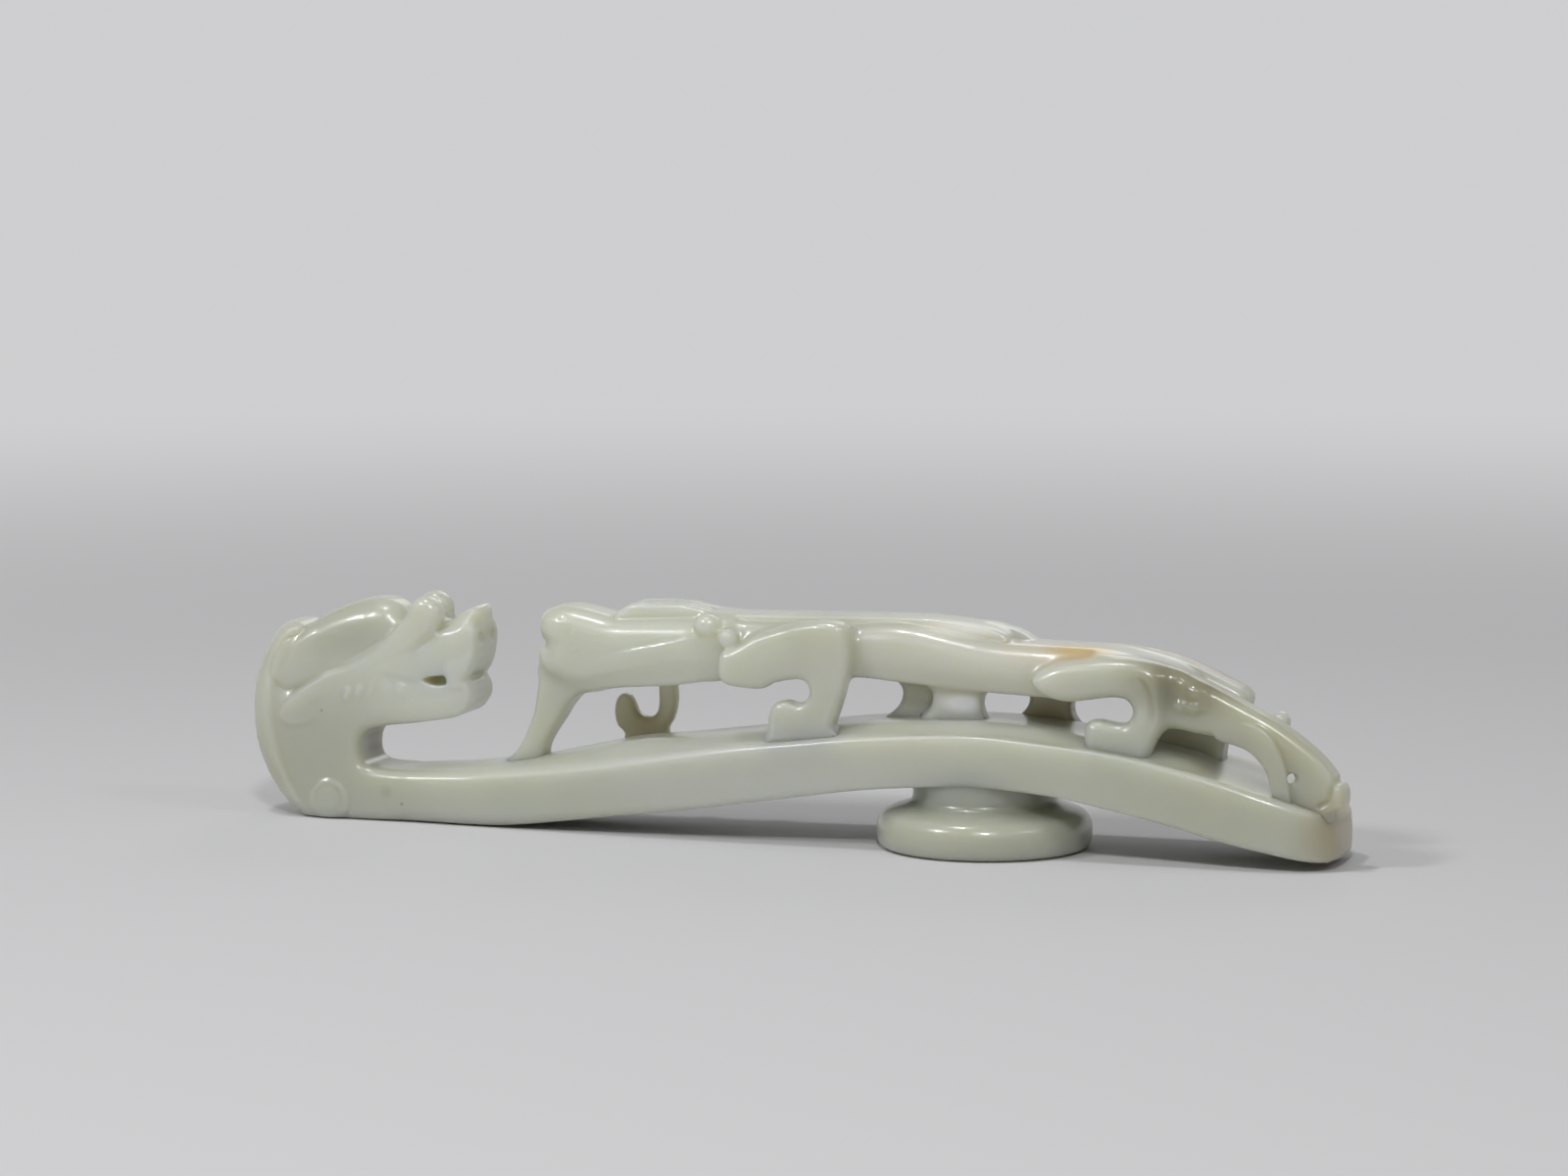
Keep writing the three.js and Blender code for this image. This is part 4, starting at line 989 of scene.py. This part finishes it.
def jade(name):
    """Pale nephrite: soft clouds, milky wisps, and the marks that the photograph shows."""
    made = bpy.data.materials.new(name)
    made.use_nodes = True
    tree = made.node_tree
    place = tree.nodes.new("ShaderNodeTexCoord").outputs["Object"]
    base = tree.nodes.new("ShaderNodeRGB").outputs["Color"]
    base.default_value = (*PALE_JADE, 1)
    clouds = between(tree, noise(tree, place, 60, 2), (0.35, 0.7), (0.0, 0.6))
    colour = blended(tree, clouds, base, CLOUDED_JADE)
    wisps = between(tree, noise(tree, place, 150, 3, 0.5), (0.5, 0.8), (0.0, 0.2))
    colour = blended(tree, wisps, colour, MILKY_JADE)
    # Each entry blends in its colour: tones and stains of the stone, and painted light and shade
    for centre, size, tint, strength in MARKS_AND_PAINTED_LIGHT:
        colour = blended(tree, egg(tree, place, centre, size, strength), colour, tint)
    shader = tree.nodes["Principled BSDF"]
    tree.links.new(colour, shader.inputs["Base Color"])
    dull = egg(tree, place, *DULL_PATCH, 1.0)
    rough = between(tree, noise(tree, place, 200, 2), (0.3, 0.75), ROUGHNESS)
    rough = joined(tree, "ADD", rough, between(tree, dull, (0, 1), (0, DULL_ROUGHNESS)))
    tree.links.new(rough, shader.inputs["Roughness"])
    coat = between(tree, dull, (0, 1), (COAT, DULL_COAT))
    tree.links.new(coat, shader.inputs["Coat Weight"])
    for socket, value in JADE_SURFACE.items():
        shader.inputs[socket].default_value = value
    polish = tree.nodes.new("ShaderNodeBump")
    polish.inputs["Strength"].default_value = 0.03
    polish.inputs["Distance"].default_value = 0.1 * MM
    tree.links.new(noise(tree, place, 700, 2), polish.inputs["Height"])
    tree.links.new(polish.outputs["Normal"], shader.inputs["Normal"])
    return made


# Stage, in metres

FLOOR_TONE = (0.62, 0.62, 0.63)
FLOOR_ROUGHNESS = 0.9

# How far from the origin the paper begins to show its own tone, and where it shows it whole
GLOW_SPAN = (0.14, 0.5)

# The floor's half width, its front and back, the backdrop's height, the radius of the bend
# between them, and how far the floor lies under the object's foot
FLOOR_HALF = 3.0
FLOOR_FRONT = -1.6
FLOOR_BACK = 1.6
BACKDROP_HEIGHT = 1.6
BEND = 0.5
BEND_STEPS = 12
FLOOR_GAP = 0.05 * MM

# Lamps: name, place, size, power and share of its glint that shows
LAMPS = [
    ("top", (-0.11, -0.1, 0.47), 0.05, 0.45, 0.6),
    ("left_box", (-0.39, -0.41, 0.47), 0.12, 1.3, 0.5),
    ("front", (0.16, -0.55, 0.49), 0.09, 1.5, 0.8),
    ("right_box", (0.5, -0.17, 0.45), 0.12, 0.3, 1.0),
    ("rim", (-0.05, 0.55, 0.35), 0.3, 0.3, 0.1),
]
LAMP_TARGET = (-0.02, 0, 0.01)
SKY = 0.28

# The photograph's camera: its place in millimetres, its turn and tilt in degrees, and its lens
CAMERA_PLACE = (163.21, -569.18, 96.96)
CAMERA_YAW = 17.93
CAMERA_PITCH = 6.857
LENS = 138.4
SENSOR = 36


def plain(name, colour, rough):
    made = bpy.data.materials.new(name)
    made.use_nodes = True
    shader = made.node_tree.nodes["Principled BSDF"]
    shader.inputs["Base Color"].default_value = (*colour, 1)
    shader.inputs["Roughness"].default_value = rough
    return made


def floor_paper():
    """Pale paper. Far from the object, where the lamps don't reach, it shows its own tone to
    the camera and in reflections, and near the object it stays plain paper with its shadow."""
    made = plain("floor_paper", FLOOR_TONE, FLOOR_ROUGHNESS)
    tree = made.node_tree
    place = tree.nodes.new("ShaderNodeNewGeometry").outputs["Position"]
    share = between(tree, from_origin(tree, place), GLOW_SPAN, (0.0, 1.0))
    ray = tree.nodes.new("ShaderNodeLightPath")
    seen = ray.outputs["Is Camera Ray"]
    for name in ("Is Glossy Ray", "Is Transmission Ray"):
        seen = joined(tree, "MAXIMUM", seen, ray.outputs[name])
    glow = tree.nodes.new("ShaderNodeEmission")
    glow.inputs["Color"].default_value = (*FLOOR_TONE, 1)
    mix = tree.nodes.new("ShaderNodeMixShader")
    tree.links.new(joined(tree, "MULTIPLY", seen, share), mix.inputs["Fac"])
    tree.links.new(tree.nodes["Principled BSDF"].outputs["BSDF"], mix.inputs[1])
    tree.links.new(glow.outputs["Emission"], mix.inputs[2])
    tree.links.new(mix.outputs["Shader"], tree.nodes["Material Output"].inputs["Surface"])
    return made


def sweep():
    """A pale floor that turns up into a backdrop behind the object."""
    profile = [(FLOOR_FRONT, 0.0)]
    profile += arc((FLOOR_BACK - BEND, BEND), BEND, [90 * at / BEND_STEPS - 90
                                                     for at in range(BEND_STEPS + 1)])
    profile.append((FLOOR_BACK, BACKDROP_HEIGHT))
    vertices = [(x, y, z - FLOOR_GAP) for y, z in profile for x in (-FLOOR_HALF, FLOOR_HALF)]
    faces = [(2 * at, 2 * at + 1, 2 * at + 3, 2 * at + 2) for at in range(len(profile) - 1)]
    made = placed("floor", vertices, faces)
    made.data.materials.append(floor_paper())


def lamp(name, place, size, power, glint):
    light = bpy.data.lights.new(name, "AREA")
    light.shape = "DISK"
    light.size = size
    light.energy = power
    light.specular_factor = glint
    made = bpy.data.objects.new(name, light)
    made.location = place
    way = Vector(LAMP_TARGET) - Vector(place)
    made.rotation_euler = way.to_track_quat("-Z", "Y").to_euler()
    bpy.context.scene.collection.objects.link(made)


def camera():
    yaw, pitch = math.radians(CAMERA_YAW), math.radians(CAMERA_PITCH)
    back = Vector((math.sin(yaw) * math.cos(pitch), -math.cos(yaw) * math.cos(pitch),
                   math.sin(pitch)))
    right = Vector((math.cos(yaw), math.sin(yaw), 0))
    up = back.cross(right)
    data = bpy.data.cameras.new("camera")
    data.lens = LENS
    data.sensor_width = SENSOR
    made = bpy.data.objects.new("camera", data)
    turn = Matrix((right, up, back)).transposed().to_4x4()
    made.matrix_world = Matrix.Translation(Vector(CAMERA_PLACE) * MM) @ turn
    bpy.context.scene.collection.objects.link(made)
    bpy.context.scene.camera = made


def studio():
    sweep()
    for name, place, size, power, glint in LAMPS:
        lamp(name, place, size, power, glint)
    world = bpy.data.worlds.new("studio")
    world.use_nodes = True
    world.node_tree.nodes["Background"].inputs["Color"].default_value = (1, 1, 1, 1)
    world.node_tree.nodes["Background"].inputs["Strength"].default_value = SKY
    bpy.context.scene.world = world
    bpy.context.scene.view_settings.view_transform = "Standard"


camera()
studio()

hook_stone = stone("hook_stone", carve_hook(), FINE_STEP)
chilong_stone = stone("chilong_stone", carve_chilong(), CHILONG_STEP)
button_stone = button()
white = jade("jade_white")
for piece in (hook_stone, chilong_stone, button_stone):
    piece.data.materials.append(white)
    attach(piece, "root")

# Which of the part's nodes each stone stands for, by words in their names
CHILONG_WORDS = ("chilong", "pillar", "tail", "hip", "foreleg", "forepaw", "thigh", "hindpaw",
                 "hindleg")
nodes = sorted(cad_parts)
button_nodes = [name for name in nodes if name.startswith("button")]
chilong_nodes = [name for name in nodes if any(word in name for word in CHILONG_WORDS)]
hook_nodes = [name for name in nodes if name not in button_nodes + chilong_nodes]
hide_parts(*hook_nodes)
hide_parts(*chilong_nodes)
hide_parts(*button_nodes)
